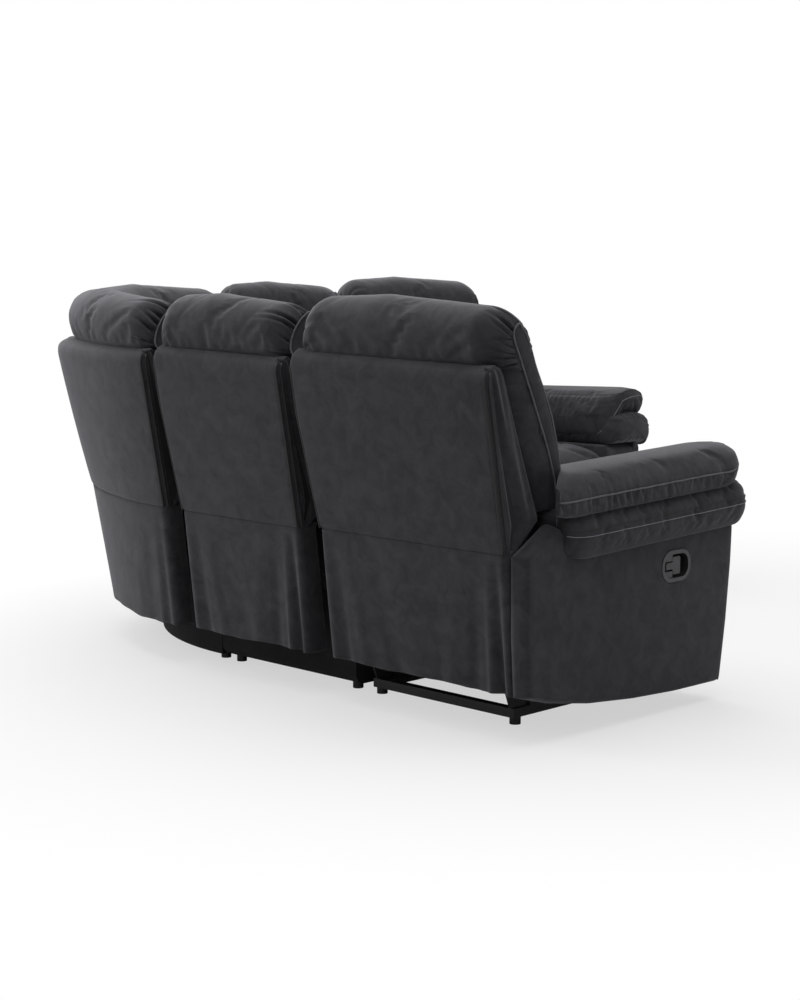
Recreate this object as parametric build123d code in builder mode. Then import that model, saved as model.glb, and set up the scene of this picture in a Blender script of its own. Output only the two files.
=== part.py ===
"""Corner reclining sofa: two reclining end seats with arms, two armless seats and a curved corner.

The right leg runs along X with its back towards -Y. The left leg is its mirror image in the plane
x = y, which also halves the corner seat. Sizes are millimetres. In the sections below a place on
the right leg is given by x, measured from the outer edge of the end seat's back (negative towards
the corner), y, measured forward from the foot of the back, and z above the floor.
"""

import os
from math import cos, pi, radians, sin, tan

from build123d import *

# Plan of one leg
recliner_pitch = 660
middle_pitch = 546
corner_side = 914
module_gap = 8
back_inset = 38
headrest_gap = 12

# Heights and lean of the backs
glide_height = 18
flap_bottom = 118
seam_height = 450
panel_top = 888
back_top = 1030
middle_drop = 8
seam_setback = 38
top_setback = 114
headrest_overhang = 14
panel_thickness = 24
panel_gap = 0.5
panel_edge_radius = 9
flap_thickness = 12
flap_fold_width = 70
flap_fold_depth = 7
flap_top_fold = 1
flap_fold_steps = (0, 0.25, 0.5, 0.75)

# Back frame and cushions
frame_top_drop = 8
frame_top_depth = 42
frame_waist_y = 12.5
frame_waist_z = 713
frame_low_y = 85
frame_low_z = 530
frame_foot_lift = 6
frame_foot_depth = 39
frame_member = 40
frame_end_inset = 6
headrest_front = 50
headrest_round_share = 0.636
headrest_belly_share = 0.42
headrest_rear_tuck = 12
headrest_front_tuck = 14
crest_rear = -78
crest_front = -8
chest_front = 122
chest_foot = 652
chest_belly = 108
chest_step = 28
chest_top_drop = 6
lumbar_front = 226
lumbar_foot_gap = 16
lumbar_belly = 66
lumbar_tuck = 20
lumbar_top_tuck = 64
cushion_overlap = 20
pad_radius = 22
soft_gap = 0.4

# Arm
arm_inner = -135
arm_outer = 50
arm_skin = 26
roll_proud = 27
arm_rear = 15
arm_front = 786
arm_toe = 741
arm_front_bottom = 41
arm_rear_bottom = 118
arm_front_inset = 14
arm_box_lift = 6
arm_heel = 8
arm_nape = 20
arm_sweep_y = 300
arm_sweep_z = 58
shoulder_foot = 446
shoulder_y = 45
shoulder_z = 519
shoulder_gap = 6
roll_foot = 440
roll_rise = 24
roll_thickness = 116
pad_thickness = 64
pad_inset = 2
roll_front = 818
pad_front = 874
roll_rear = 122
pad_rear = 66
arm_squeeze = 180
arm_tip = 24
arm_tip_shares = (0.7, 0.1, 0, 0.2, 1)
arm_rear_slim = 10
arm_roundness = 0.4

# Handle cup and release lever
handle_y = 538
handle_z = 369
cup_half_width = 57
cup_half_height = 39.5
cup_flange = 4
cup_corner = 36
cup_lip = 7
cup_wall = 3
cup_depth = 40
lever_pivot_offset = -33
lever_pin_radius = 4
lever_thickness = 6
lever_length = 58
lever_stem = 18
lever_bar = 36

# Steel base, seat and footrest
rail_width = 25
rail_height = 23
base_left = -620
base_rear = 150
base_front = 715
post_rear = 210
post_front = 600
guide_top = 236
guide_rear = 190
running_gap = 0.4
bar_gap = 0.3
pin_gap = 0.05
seat_rear = 196
seat_front = 790
seat_height = 447
seat_crown = 18
seat_crown_run = 90
seat_lip = 62
seat_lip_tuck = 22
seat_frame_front = 684
seat_cross_front = 608
seat_deck = 14
seat_frame_height = 60
seat_rail = 42
seat_bore_depth = 12
seat_side_gap = 3
link_length = 180
link_width = 24
link_thickness = 5
link_gap = 1
link_pin_radius = 6
link_pin_gap = 1
link_root_y = 660
link_root_z = 262
fold_slope = 8
fold_angle = 95
board_rear = 690
board_thickness = 14
board_top = 250
board_bottom = 66
lug_depth = 72
foot_pad_thickness = 48
foot_pad_round = 8

# Recline hinge
recline_y = 5
recline_lift = 14
hinge_pin_radius = 8
hinge_boss_radius = 16
hinge_plate = 6
hinge_slot_gap = 2
hinge_slot_depth = 49
hinge_pin_length = 46
hinge_foot_length = 55
hinge_foot_height = 40

# Box bases, glides and connectors
box_rear = 130
box_front = 752
box_top = 296
box_edge_radius = 30
upright_width = 32
upright_inset = 60
upright_depth = 70
glide_radius = 14
glide_sides = 16
glide_inset = 30
glide_rear = 170
glide_front = 692
connector_height = 60
connector_width = 24
connector_z = 110
connector_plate = 3

# Corner seat
turn_inset = 2.2
half_gap = 0.6
corner_upright_turns = (16, 45, 74)
corner_seat_tuck = 12
corner_seat_round = 32
corner_seat_crown = 40

# Where the leg lies in the model: origin at the middle of the floor plan
leg_length = recliner_pitch + middle_pitch + corner_side
rear_reach = top_setback + headrest_overhang
arm_reach = arm_outer + roll_proud
overall = rear_reach + leg_length + arm_reach
rear_y = rear_reach - overall / 2
end_x = overall / 2 - arm_reach
middle_x = -recliner_pitch
corner_x = middle_x - middle_pitch
centre = rear_y + corner_side
corner_axis = Axis((centre, centre, 0), (0, 0, -1))
diagonal = Plane(origin=(0, 0, 0), z_dir=(1, -1, 0))
frame_foot_height = seam_height + frame_foot_lift
recline_z = frame_foot_height + recline_lift
hinge_slot_top = frame_foot_height + hinge_slot_depth
back_slope = (top_setback - seam_setback) / (panel_top - seam_height)
flap_top = seam_height - (panel_thickness - panel_edge_radius) * back_slope - soft_gap


def side(x):
    """Plane across the leg at x: its own axes run forward and up."""
    return Plane(origin=(end_x + x, rear_y, 0), x_dir=(0, 1, 0), z_dir=(1, 0, 0))


def across(y):
    """Plane along the leg at y: its own axes run outward and up."""
    return Plane(origin=(end_x, rear_y + y, 0), x_dir=(1, 0, 0), z_dir=(0, -1, 0))


def level(z):
    """Plane at height z: its own axes run outward and forward."""
    return Plane(origin=(end_x, rear_y, z), x_dir=(1, 0, 0), z_dir=(0, 0, 1))


def spoke(turn):
    """Upright plane through the corner's axis, turned from the right leg towards the left one."""
    inward = (sin(radians(turn)), cos(radians(turn)))
    rear = (centre - corner_side * inward[0], centre - corner_side * inward[1], 0)
    return Plane(origin=rear, x_dir=(*inward, 0), z_dir=(inward[1], -inward[0], 0))


def setback(z):
    """How far the outer back stands behind its foot at height z above the seam."""
    return seam_setback + back_slope * (z - seam_height)


def rounded(outline, radius):
    """Outline whose corners are each replaced by three points on an arc of the radius."""
    points = []
    for before, corner, after in zip(outline[-1:] + outline[:-1], outline, outline[1:] + outline[:1]):
        behind = (Vector(*before) - Vector(*corner)).normalized()
        ahead = (Vector(*after) - Vector(*corner)).normalized()
        half = radians(behind.get_angle(ahead)) / 2
        inward = (behind + ahead).normalized() * (radius / sin(half) - radius)
        steps = (behind * (radius / tan(half)), inward, ahead * (radius / tan(half)))
        points += [(corner[0] + step.X, corner[1] + step.Y) for step in steps]
    return points


def soft_section(plane, outline, share, radius):
    """Outline drawn in towards its middle, with every corner rounded."""
    mid_u = sum(u for u, _ in outline) / len(outline)
    mid_v = sum(v for _, v in outline) / len(outline)
    drawn = [(mid_u + (u - mid_u) * share, mid_v + (v - mid_v) * share) for u, v in outline]
    with BuildSketch(plane) as section:
        Polygon(*rounded(drawn, radius * share))
    return section.sketch


def lowered(outline, drop):
    """The same outline, set lower by drop."""
    return [(u, v - drop) for u, v in outline]


# Side outlines that every seat shares, as (y, z)
crest_width = crest_front - crest_rear
headrest_rise = back_top - panel_top
headrest_radius = headrest_round_share * crest_width * headrest_rise / (crest_width + headrest_rise)
headrest_belly = headrest_rise * headrest_belly_share
headrest_outline = [
    (headrest_rear_tuck - rear_reach, panel_top + soft_gap),
    (-rear_reach, panel_top + headrest_belly),
    (crest_rear, back_top),
    (crest_front, back_top),
    (headrest_front, panel_top + headrest_belly),
    (headrest_front - headrest_front_tuck, panel_top + soft_gap),
]
frame_top = panel_top - frame_top_drop
frame_rear = panel_thickness + panel_gap
frame_outline = [
    (frame_rear - setback(frame_foot_height), frame_foot_height),
    (frame_rear - setback(frame_top), frame_top),
    (frame_rear - setback(frame_top) + frame_top_depth, frame_top),
    (frame_waist_y, frame_waist_z),
    (frame_low_y, frame_low_z),
    (frame_rear - setback(frame_foot_height) + frame_foot_depth, frame_foot_height),
]
frame_slope = (frame_low_y - frame_waist_y) / (frame_waist_z - frame_low_z)
chest_rear_foot = frame_waist_y + frame_slope * (frame_waist_z - chest_foot) + soft_gap
chest_top = panel_top - chest_top_drop
lumbar_top = chest_foot - 2 * soft_gap
lumbar_foot = frame_foot_height
chest_outline = [
    (frame_outline[2][0] + soft_gap, chest_top),
    (frame_waist_y + soft_gap, frame_waist_z),
    (chest_rear_foot, chest_foot),
    (chest_front + chest_step, chest_foot),
    (chest_front, chest_foot + chest_belly),
    (headrest_front + headrest_front_tuck, chest_top),
]
lumbar_outline = [
    (chest_rear_foot + 2 * soft_gap, lumbar_top),
    (frame_low_y + soft_gap, frame_low_z),
    (frame_low_y + lumbar_foot_gap, lumbar_foot),
    (lumbar_front - lumbar_tuck, lumbar_foot),
    (lumbar_front, lumbar_foot + lumbar_belly),
    (lumbar_front - lumbar_top_tuck, lumbar_top),
]
seat_frame_foot = guide_top + running_gap
seat_bottom = seat_frame_foot + seat_frame_height + soft_gap
seat_outline = [
    (seat_rear, seat_bottom),
    (seat_rear, seat_height - seat_crown),
    (seat_rear + seat_crown_run, seat_height - seat_crown / 2),
    (seat_front - seat_crown_run, seat_height),
    (seat_front - seat_crown, seat_height - seat_crown),
    (seat_front, seat_height - seat_lip),
    (seat_front - seat_lip_tuck, seat_bottom),
]
end_shares = (0.8, 0.95, 1.0, 0.95, 0.8)
cushion_shares = (0.92, 0.985, 1.0, 0.985, 0.92)
foot_pad_shares = (0.95, 0.99, 1.0, 0.99, 0.95)
station_steps = (0, 0.06, 0.5, 0.94, 1)
curved_steps = (0, 0.14, 0.5, 0.86, 1)


def straight_pillow(x_low, x_high, outline, shares, radius):
    """Pillow along the leg: the outline lofted through five sections, full in the middle."""
    places = [x_low + (x_high - x_low) * step for step in station_steps]
    with BuildPart() as pillow:
        sections = [soft_section(side(x), outline, k, radius) for x, k in zip(places, shares)]
        loft(sections, ruled=True)
    return pillow.part


def curved_pillow(turn_low, turn_high, outline, shares, radius):
    """The same pillow bent round the corner's axis."""
    turns = [turn_low + (turn_high - turn_low) * step for step in curved_steps]
    with BuildPart() as pillow:
        sections = [soft_section(spoke(t), outline, k, radius) for t, k in zip(turns, shares)]
        loft(sections, ruled=True)
    return pillow.part


def back_panel(x_low, x_high, drop):
    """Upholstered outer back: a leaning board with softened outer edges."""
    length = panel_top - seam_height
    mid_z = (panel_top + seam_height) / 2
    lean_plane = Plane(
        origin=(end_x + (x_low + x_high) / 2, rear_y - setback(mid_z) + panel_thickness, mid_z - drop),
        x_dir=(1, 0, 0),
        z_dir=(0, -length, setback(seam_height) - setback(panel_top)),
    )
    height = ((setback(panel_top) - setback(seam_height)) ** 2 + length**2) ** 0.5
    with BuildPart() as panel:
        with BuildSketch(lean_plane):
            Rectangle(x_high - x_low, height)
        extrude(amount=panel_thickness)
        outer_face = panel.faces().sort_by(Axis(lean_plane.origin, lean_plane.z_dir))[-1]
        fillet(outer_face.edges(), panel_edge_radius)
    return panel.part


def back_flap(x_low, x_high, drop):
    """Cloth panel hung from the seam, with two upright folds near each end."""
    ends = [x_low + flap_fold_width * i for i in range(3)]
    ends += [x_high - flap_fold_width * i for i in (2, 1, 0)]
    with BuildPart() as flap:
        sections = []
        for z, back, fold in ((flap_bottom, 0, flap_fold_depth), (flap_top, seam_setback, flap_top_fold)):
            outer = [
                (start + (end - start) * step, depth * sin(pi * step) - back)
                for start, end, depth in zip(ends, ends[1:], (-fold, fold, 0, fold, -fold))
                for step in (flap_fold_steps if depth else (0,))
            ]
            inner = [(x_high, flap_thickness - back), (x_low, flap_thickness - back)]
            with BuildSketch(level(z - drop)) as section:
                Polygon(*outer, (x_high, -back), *inner)
            sections.append(section.sketch)
        loft(sections, ruled=True)
    return flap.part


def back_frame(x_low, x_high, drop, hinge_places):
    """Timber back frame: tapered uprights and rails round six windows, slotted for the hinge plates."""
    width = x_high - x_low
    bay = (width - frame_member) / 3
    row = (frame_top - hinge_slot_top - frame_member) / 2
    window_z = (frame_top + hinge_slot_top) / 2 - drop
    with BuildPart() as frame:
        with BuildSketch(side(x_low)):
            Polygon(*lowered(frame_outline, drop))
        extrude(amount=width)
        with BuildSketch(across(-rear_reach)) as windows:
            with Locations(((x_low + x_high) / 2, window_z)):
                with GridLocations(bay, row, 3, 2):
                    Rectangle(bay - frame_member, row - frame_member)
        extrude(amount=-2 * rear_reach - lumbar_front, mode=Mode.SUBTRACT)
        for x in hinge_places:
            with BuildSketch(side(x - hinge_plate / 2 - hinge_slot_gap)):
                with Locations((recline_y, (frame_foot_height + hinge_slot_top) / 2)):
                    Rectangle(2 * lumbar_front, hinge_slot_top - frame_foot_height + hinge_slot_gap)
            extrude(amount=hinge_plate + 2 * hinge_slot_gap, mode=Mode.SUBTRACT)
            with BuildSketch(side(x - hinge_pin_length / 2)):
                with Locations((recline_y, recline_z)):
                    Circle(hinge_pin_radius + pin_gap)
            extrude(amount=hinge_pin_length, mode=Mode.SUBTRACT)
    return frame.part


def upright_outline(drop):
    """Side outline of a timber upright that carries a fixed back on its box."""
    return [
        (box_rear, box_top - upright_depth),
        (box_rear + upright_depth, box_top),
        (frame_outline[-1][0], frame_foot_height - drop),
        (frame_outline[0][0], frame_foot_height - drop),
    ]


def box_base(x_low, x_high):
    """Upholstered timber box under an armless seat, rounded below, with two uprights for its back."""
    with BuildPart() as box:
        with BuildSketch(side(x_low)) as outline:
            Polygon(
                (box_rear, glide_height),
                (box_front, glide_height),
                (box_front, box_top),
                (box_rear, box_top),
            )
            fillet(outline.vertices().group_by(Axis.Z)[0], box_edge_radius)
        extrude(amount=x_high - x_low)
        for x in (x_low + upright_inset, x_high - upright_inset - upright_width):
            with BuildSketch(side(x)):
                Polygon(*upright_outline(middle_drop))
            extrude(amount=upright_width)
    return box.part


right = {}
single = {}

# Backs of the two straight seats
recliner_left = middle_x + back_inset
middle_right = middle_x - back_inset
middle_left = corner_x + back_inset
hinge_places = (arm_inner - rail_width / 2, base_left + rail_width / 2)
right["back_panel"] = back_panel(recliner_left, 0, 0)
right["back_flap"] = back_flap(recliner_left, 0, 0)
right["back_frame"] = back_frame(recliner_left + frame_end_inset, -frame_end_inset, 0, hinge_places)
right["headrest"] = straight_pillow(
    middle_x + headrest_gap / 2, back_inset - headrest_gap / 2, headrest_outline, end_shares, headrest_radius
)
right["middle_back_panel"] = back_panel(middle_left, middle_right, middle_drop)
right["middle_back_flap"] = back_flap(middle_left, middle_right, middle_drop)
right["middle_back_frame"] = back_frame(
    middle_left + frame_end_inset, middle_right - frame_end_inset, middle_drop, ()
)
right["middle_headrest"] = straight_pillow(
    corner_x + headrest_gap / 2,
    middle_x - headrest_gap / 2,
    lowered(headrest_outline, middle_drop),
    end_shares,
    headrest_radius,
)

# Back cushions: a chest pad over a lumbar pad, the lumbar pad of the end seat between arm and neighbour
recliner_cushion_left = recliner_left - cushion_overlap
middle_cushion_left = middle_left - cushion_overlap
middle_cushion_right = middle_right + cushion_overlap
chest_places = {
    "back_cushion": (recliner_cushion_left, -frame_end_inset, arm_inner - seat_side_gap, 0),
    "middle_back_cushion": (middle_cushion_left, middle_cushion_right, middle_cushion_right, middle_drop),
}
for name, (low, chest_high, lumbar_high, drop) in chest_places.items():
    chest = straight_pillow(low, chest_high, lowered(chest_outline, drop), cushion_shares, pad_radius)
    lumbar = straight_pillow(low, lumbar_high, lowered(lumbar_outline, drop), cushion_shares, pad_radius)
    with BuildPart() as cushion:
        add(chest)
        add(lumbar)
    right[name] = cushion.part

# Seats and box bases
right["seat_cushion"] = straight_pillow(
    middle_x + module_gap / 2, arm_inner - seat_side_gap, seat_outline, cushion_shares, pad_radius
)
right["middle_seat_cushion"] = straight_pillow(
    corner_x + module_gap / 2, middle_x - module_gap / 2, seat_outline, cushion_shares, pad_radius
)
right["middle_box_base"] = box_base(corner_x + module_gap / 2, middle_x - module_gap / 2)

# Arm: timber box, upholstered outer panel, roll and top pad
arm_box_front = arm_front - arm_front_inset
arm_box_toe = arm_toe - arm_front_inset


def arm_line(y):
    """Height of the line along which the roll lies on the arm, rising towards the front."""
    return roll_foot + roll_rise * (y - roll_rear) / (roll_front - roll_rear)




def cup_oblong(inset):
    """The handle cup's outline, drawn in by inset, as a sketch about its own middle."""
    with BuildSketch() as oblong:
        RectangleRounded(2 * (cup_half_width - inset), 2 * (cup_half_height - inset), cup_corner - inset)
    return oblong.sketch


cup_bowl_width = cup_half_width - cup_lip
cup_bowl_height = cup_half_height - cup_lip
with BuildPart() as arm_frame:
    with BuildSketch(side(arm_inner)):
        with BuildLine():
            Polyline(
                (arm_box_toe, arm_front_bottom + arm_box_lift),
                (arm_box_front, arm_line(arm_box_front) - 2 * soft_gap),
                (arm_rear, arm_line(arm_rear) - 2 * soft_gap),
                (arm_rear, arm_rear_bottom + arm_box_lift),
            )
            ThreePointArc(
                (arm_rear, arm_rear_bottom + arm_box_lift),
                (arm_sweep_y, arm_sweep_z + arm_box_lift),
                (arm_box_toe, arm_front_bottom + arm_box_lift),
            )
        make_face()
    extrude(amount=arm_outer - arm_skin - arm_inner)
    with BuildSketch(side(arm_outer - cup_depth - soft_gap)):
        with Locations((handle_y, handle_z)):
            add(cup_oblong(cup_lip - soft_gap))
    extrude(amount=cup_depth, mode=Mode.SUBTRACT)
right["arm_frame"] = arm_frame.part

with BuildPart() as arm_panel:
    with BuildSketch(side(arm_outer - arm_skin)):
        with BuildLine():
            Polyline(
                (-arm_heel, arm_rear_bottom),
                (-arm_nape, shoulder_foot),
                (shoulder_y, shoulder_z),
                (roll_rear - shoulder_gap, shoulder_z),
                (roll_rear - shoulder_gap, arm_line(roll_rear - shoulder_gap) - soft_gap),
                (arm_front, arm_line(arm_front) - soft_gap),
                (arm_toe, arm_front_bottom),
            )
            ThreePointArc(
                (arm_toe, arm_front_bottom),
                (arm_sweep_y, arm_sweep_z),
                (-arm_heel, arm_rear_bottom),
            )
        make_face()
    extrude(amount=arm_skin)
    fillet(arm_panel.faces().sort_by(Axis.X)[-1].edges(), panel_edge_radius)
    with BuildSketch(side(arm_outer - arm_skin)):
        with Locations((handle_y, handle_z)):
            add(cup_oblong(cup_lip - soft_gap / 2))
    extrude(amount=arm_skin, mode=Mode.SUBTRACT)
right["arm_side_panel"] = arm_panel.part


def arm_pillow(rear, front, foot, thickness, x_outer):
    """Pillow along the arm: narrow at its rear end beside the back, full over the arm's width."""
    x_inner = arm_inner + soft_gap
    x_rear = arm_outer - arm_skin - arm_rear_slim
    places = (
        (rear, x_rear, x_outer - arm_tip / 3),
        (arm_squeeze, x_inner, x_outer),
        ((arm_squeeze + front) / 2, x_inner, x_outer),
        (front - 2 * arm_tip, x_inner, x_outer),
        (front, x_inner + arm_tip, x_outer - arm_tip),
    )
    with BuildPart() as pillow:
        sections = []
        for (y, low, high), share in zip(places, arm_tip_shares):
            bottom = foot - roll_foot + arm_line(y) + arm_tip * share
            top = bottom + thickness - 2 * arm_tip * share
            radius = min(top - bottom, high - low) * arm_roundness
            with BuildSketch(across(y)) as section:
                Polygon(*rounded([(low, bottom), (high, bottom), (high, top), (low, top)], radius))
            sections.append(section.sketch)
        loft(sections, ruled=True)
    return pillow.part


right["arm_roll"] = arm_pillow(roll_rear, roll_front, roll_foot, roll_thickness, arm_reach)
right["arm_pad"] = arm_pillow(
    pad_rear, pad_front, roll_foot + roll_thickness + soft_gap / 2, pad_thickness, arm_reach - pad_inset
)

# Handle cup: an oval bowl with a flange that lies on the arm panel, and bores for the lever's pin
lever_y = handle_y + lever_pivot_offset
lever_x = arm_outer - 2 * lever_thickness
with BuildPart() as handle_cup:
    with BuildSketch(side(arm_outer)):
        with Locations((handle_y, handle_z)):
            add(cup_oblong(0))
    extrude(amount=cup_flange)
    with BuildSketch(side(arm_outer - cup_depth)):
        with Locations((handle_y, handle_z)):
            add(cup_oblong(cup_lip))
    extrude(amount=cup_depth)
    with BuildSketch(side(arm_outer - cup_depth + cup_wall)):
        with Locations((handle_y, handle_z)):
            add(cup_oblong(cup_lip + cup_wall))
    extrude(amount=cup_depth + cup_flange, mode=Mode.SUBTRACT)
    with BuildSketch(level(handle_z - cup_bowl_height)):
        with Locations((lever_x, lever_y)):
            Circle(lever_pin_radius + pin_gap)
    extrude(amount=2 * cup_bowl_height, mode=Mode.SUBTRACT)
right["handle_cup"] = handle_cup.part

bowl_corner = cup_corner - cup_lip
pin_reach = lever_pin_radius - lever_pivot_offset - (cup_bowl_width - bowl_corner)
lever_pin_half = cup_bowl_height - bowl_corner + (bowl_corner**2 - pin_reach**2) ** 0.5 - soft_gap
with BuildPart() as release_lever:
    with BuildSketch(level(handle_z - lever_stem / 2)):
        with Locations((lever_x, lever_y)):
            Circle(lever_pin_radius + lever_thickness / 2)
        with Locations((lever_x, lever_y + lever_length / 2)):
            Rectangle(lever_thickness, lever_length)
    extrude(amount=lever_stem)
    with BuildSketch(level(handle_z - lever_bar / 2)):
        with Locations((lever_x, lever_y + lever_length - lever_stem / 2)):
            Rectangle(lever_thickness, lever_stem)
    extrude(amount=lever_bar)
    with BuildSketch(level(handle_z - lever_pin_half)):
        with Locations((lever_x, lever_y)):
            Circle(lever_pin_radius)
    extrude(amount=2 * lever_pin_half)
right["release_lever"] = release_lever.part

# Steel base: side rails, cross rails, posts and guide rails for the sliding seat, bar by bar
base_right = arm_inner
rail_top = glide_height + rail_height
guide_foot = guide_top - rail_height
side_bars = [
    (base_rear, base_front, glide_height, rail_top),
    (post_rear, post_rear + rail_width, rail_top + bar_gap, guide_foot - bar_gap),
    (post_front, post_front + rail_width, rail_top + bar_gap, guide_foot - bar_gap),
    (guide_rear, seat_frame_front, guide_foot, guide_top),
]
with BuildPart() as base_frame:
    for rear, front, foot, top in side_bars:
        for x in (base_left, base_right - rail_width):
            with BuildSketch(side(x)):
                Polygon((rear, foot), (front, foot), (front, top), (rear, top))
            extrude(amount=rail_width)
    cross_length = base_right - base_left - 2 * rail_width - 2 * bar_gap
    for y in (base_rear, base_front - rail_width):
        with BuildSketch(across(y)):
            with Locations(((base_left + base_right) / 2, (glide_height + rail_top) / 2)):
                Rectangle(cross_length, rail_height)
        extrude(amount=-rail_width)
right["base_frame"] = base_frame.part

# Recline hinge arms: steel plates on the side rails, each with a pin through the back frame
with BuildPart() as hinge_arms:
    for x in hinge_places:
        with BuildSketch(side(x - hinge_plate / 2)):
            Polygon(
                (recline_y - hinge_boss_radius, recline_z),
                (base_rear, rail_top),
                (base_rear + hinge_foot_length, rail_top),
                (base_rear + hinge_foot_length, rail_top + hinge_foot_height),
                (recline_y + hinge_boss_radius, recline_z),
            )
            with Locations((recline_y, recline_z)):
                Circle(hinge_boss_radius)
        extrude(amount=hinge_plate)
        with BuildSketch(side(x - hinge_pin_length / 2)):
            with Locations((recline_y, recline_z)):
                Circle(hinge_pin_radius)
        extrude(amount=hinge_pin_length)
right["hinge_arms"] = hinge_arms.part

# Seat frame: two side rails that carry the links, cross rails with struts between them, and a front deck
frame_low_x = base_left
frame_high_x = arm_inner - seat_side_gap
frame_mid_x = (frame_low_x + frame_high_x) / 2
clear_width = frame_high_x - frame_low_x - 2 * seat_rail - 2 * bar_gap
seat_row = (seat_cross_front - seat_rear - seat_rail) / 3
with BuildPart() as seat_frame:
    with BuildSketch(level(seat_frame_foot)):
        with Locations((frame_mid_x, (seat_rear + seat_frame_front) / 2)):
            with GridLocations(clear_width + seat_rail + 2 * bar_gap, 1, 2, 1):
                Rectangle(seat_rail, seat_frame_front - seat_rear)
        with Locations((frame_mid_x, (seat_rear + seat_cross_front) / 2)):
            with GridLocations(1, seat_row, 1, 4):
                Rectangle(clear_width, seat_rail)
            with GridLocations(clear_width / 3, seat_row, 2, 3):
                Rectangle(seat_rail, seat_row - seat_rail - 2 * bar_gap)
    extrude(amount=seat_frame_height)
    with BuildSketch(level(seat_frame_foot + seat_frame_height)):
        with Locations((frame_mid_x, (seat_cross_front + seat_frame_front + bar_gap) / 2)):
            Rectangle(clear_width, seat_frame_front - seat_cross_front - bar_gap)
    extrude(amount=-seat_deck)
    for x in (frame_low_x + seat_rail - seat_bore_depth, frame_high_x - seat_rail):
        with BuildSketch(side(x)):
            with Locations((link_root_y, link_root_z)):
                Circle(link_pin_radius + pin_gap)
        extrude(amount=seat_bore_depth, mode=Mode.SUBTRACT)
right["seat_frame"] = seat_frame.part

# Footrest linkage, folded: rear link down from the seat rail, front link up again to the footrest
rear_turn = radians(fold_slope - fold_angle)
front_turn = radians(fold_slope + fold_angle)
knee = (link_root_y + link_length * cos(rear_turn), link_root_z + link_length * sin(rear_turn))
ankle = (knee[0] + link_length * cos(front_turn), knee[1] + link_length * sin(front_turn))
root = (link_root_y, link_root_z)
link_step = link_thickness + link_gap
link_sides = ((frame_low_x + seat_rail, 1), (frame_high_x - seat_rail, -1))


def layer(face, sense, start, thickness):
    """Lower x of a plate that starts at a distance inside the seat rail's face."""
    return face + sense * start if sense > 0 else face + sense * start - thickness


def link_plate(start, end, turn, holes):
    """Flat link between two pivots, round at both ends, as a sketch about its own plane's origin."""
    with BuildSketch() as plate:
        for point in (start, end):
            with Locations(point):
                Circle(link_width / 2)
        with Locations(((start[0] + end[0]) / 2, (start[1] + end[1]) / 2)):
            Rectangle(link_length, link_width, rotation=turn)
        for point in holes:
            with Locations(point):
                Circle(link_pin_radius + pin_gap, mode=Mode.SUBTRACT)
    return plate.sketch


with BuildPart() as rear_links:
    for face, sense in link_sides:
        plate_x = layer(face, sense, link_gap, link_thickness)
        with BuildSketch(side(plate_x)):
            add(link_plate(root, knee, fold_slope - fold_angle, ()))
        extrude(amount=link_thickness)
        for point, reach, length in (
            (root, link_pin_gap - seat_bore_depth, seat_bore_depth),
            (knee, link_gap + link_thickness, link_step + link_gap),
        ):
            with BuildSketch(side(layer(face, sense, reach, length))):
                with Locations(point):
                    Circle(link_pin_radius)
            extrude(amount=length)
right["rear_links"] = rear_links.part

with BuildPart() as front_links:
    for face, sense in link_sides:
        start = link_gap + link_step
        with BuildSketch(side(layer(face, sense, start, link_thickness))):
            add(link_plate(knee, ankle, fold_slope + fold_angle, (knee,)))
        extrude(amount=link_thickness)
        with BuildSketch(side(layer(face, sense, start + link_thickness, link_step + 2 * link_gap))):
            with Locations(ankle):
                Circle(link_pin_radius)
        extrude(amount=link_step + 2 * link_gap)
right["front_links"] = front_links.part

board_low_x = middle_x + module_gap
board_high_x = arm_inner - seat_side_gap * 2
with BuildPart() as footrest_board:
    with BuildSketch(across(board_rear)):
        with Locations(((board_low_x + board_high_x) / 2, (board_top + board_bottom) / 2)):
            Rectangle(board_high_x - board_low_x, board_top - board_bottom)
    extrude(amount=-board_thickness)
    for face, sense in link_sides:
        with BuildSketch(side(layer(face, sense, 2 * link_gap + 2 * link_step, link_thickness))):
            Polygon(
                (ankle[0], ankle[1] - link_width / 2),
                (board_rear - bar_gap, board_top - lug_depth),
                (board_rear - bar_gap, board_top),
                (ankle[0], ankle[1] + link_width / 2),
            )
            with Locations(ankle):
                Circle(link_width / 2)
                Circle(link_pin_radius + pin_gap, mode=Mode.SUBTRACT)
        extrude(amount=link_thickness)
right["footrest_board"] = footrest_board.part

foot_pad_rear = board_rear + board_thickness + running_gap
foot_pad_outline = [
    (foot_pad_rear, board_bottom),
    (foot_pad_rear + foot_pad_thickness - foot_pad_round, board_bottom),
    (foot_pad_rear + foot_pad_thickness, (board_bottom + board_top) / 2),
    (foot_pad_rear + foot_pad_thickness - foot_pad_round, board_top),
    (foot_pad_rear, board_top),
]
right["footrest_pad"] = straight_pillow(
    board_low_x, board_high_x, foot_pad_outline, foot_pad_shares, pad_radius / 2
)

# Corner seat: the same outlines turned about the corner's axis, its outer back sewn in one piece with
# its flap, its pads in two halves
wedge_outlines = {
    "corner_back_panel": [
        (0, flap_bottom),
        (-seam_setback, seam_height),
        (-top_setback, panel_top),
        (panel_thickness - top_setback, panel_top),
        (panel_thickness - seam_setback, seam_height),
        (flap_thickness, flap_bottom),
    ],
    "corner_back_frame": frame_outline,
}
for name, outline in wedge_outlines.items():
    with BuildPart() as shell:
        with BuildSketch(spoke(turn_inset)):
            Polygon(*lowered(outline, middle_drop))
        revolve(axis=corner_axis, revolution_arc=90 - 2 * turn_inset)
    single[name] = shell.part

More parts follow.
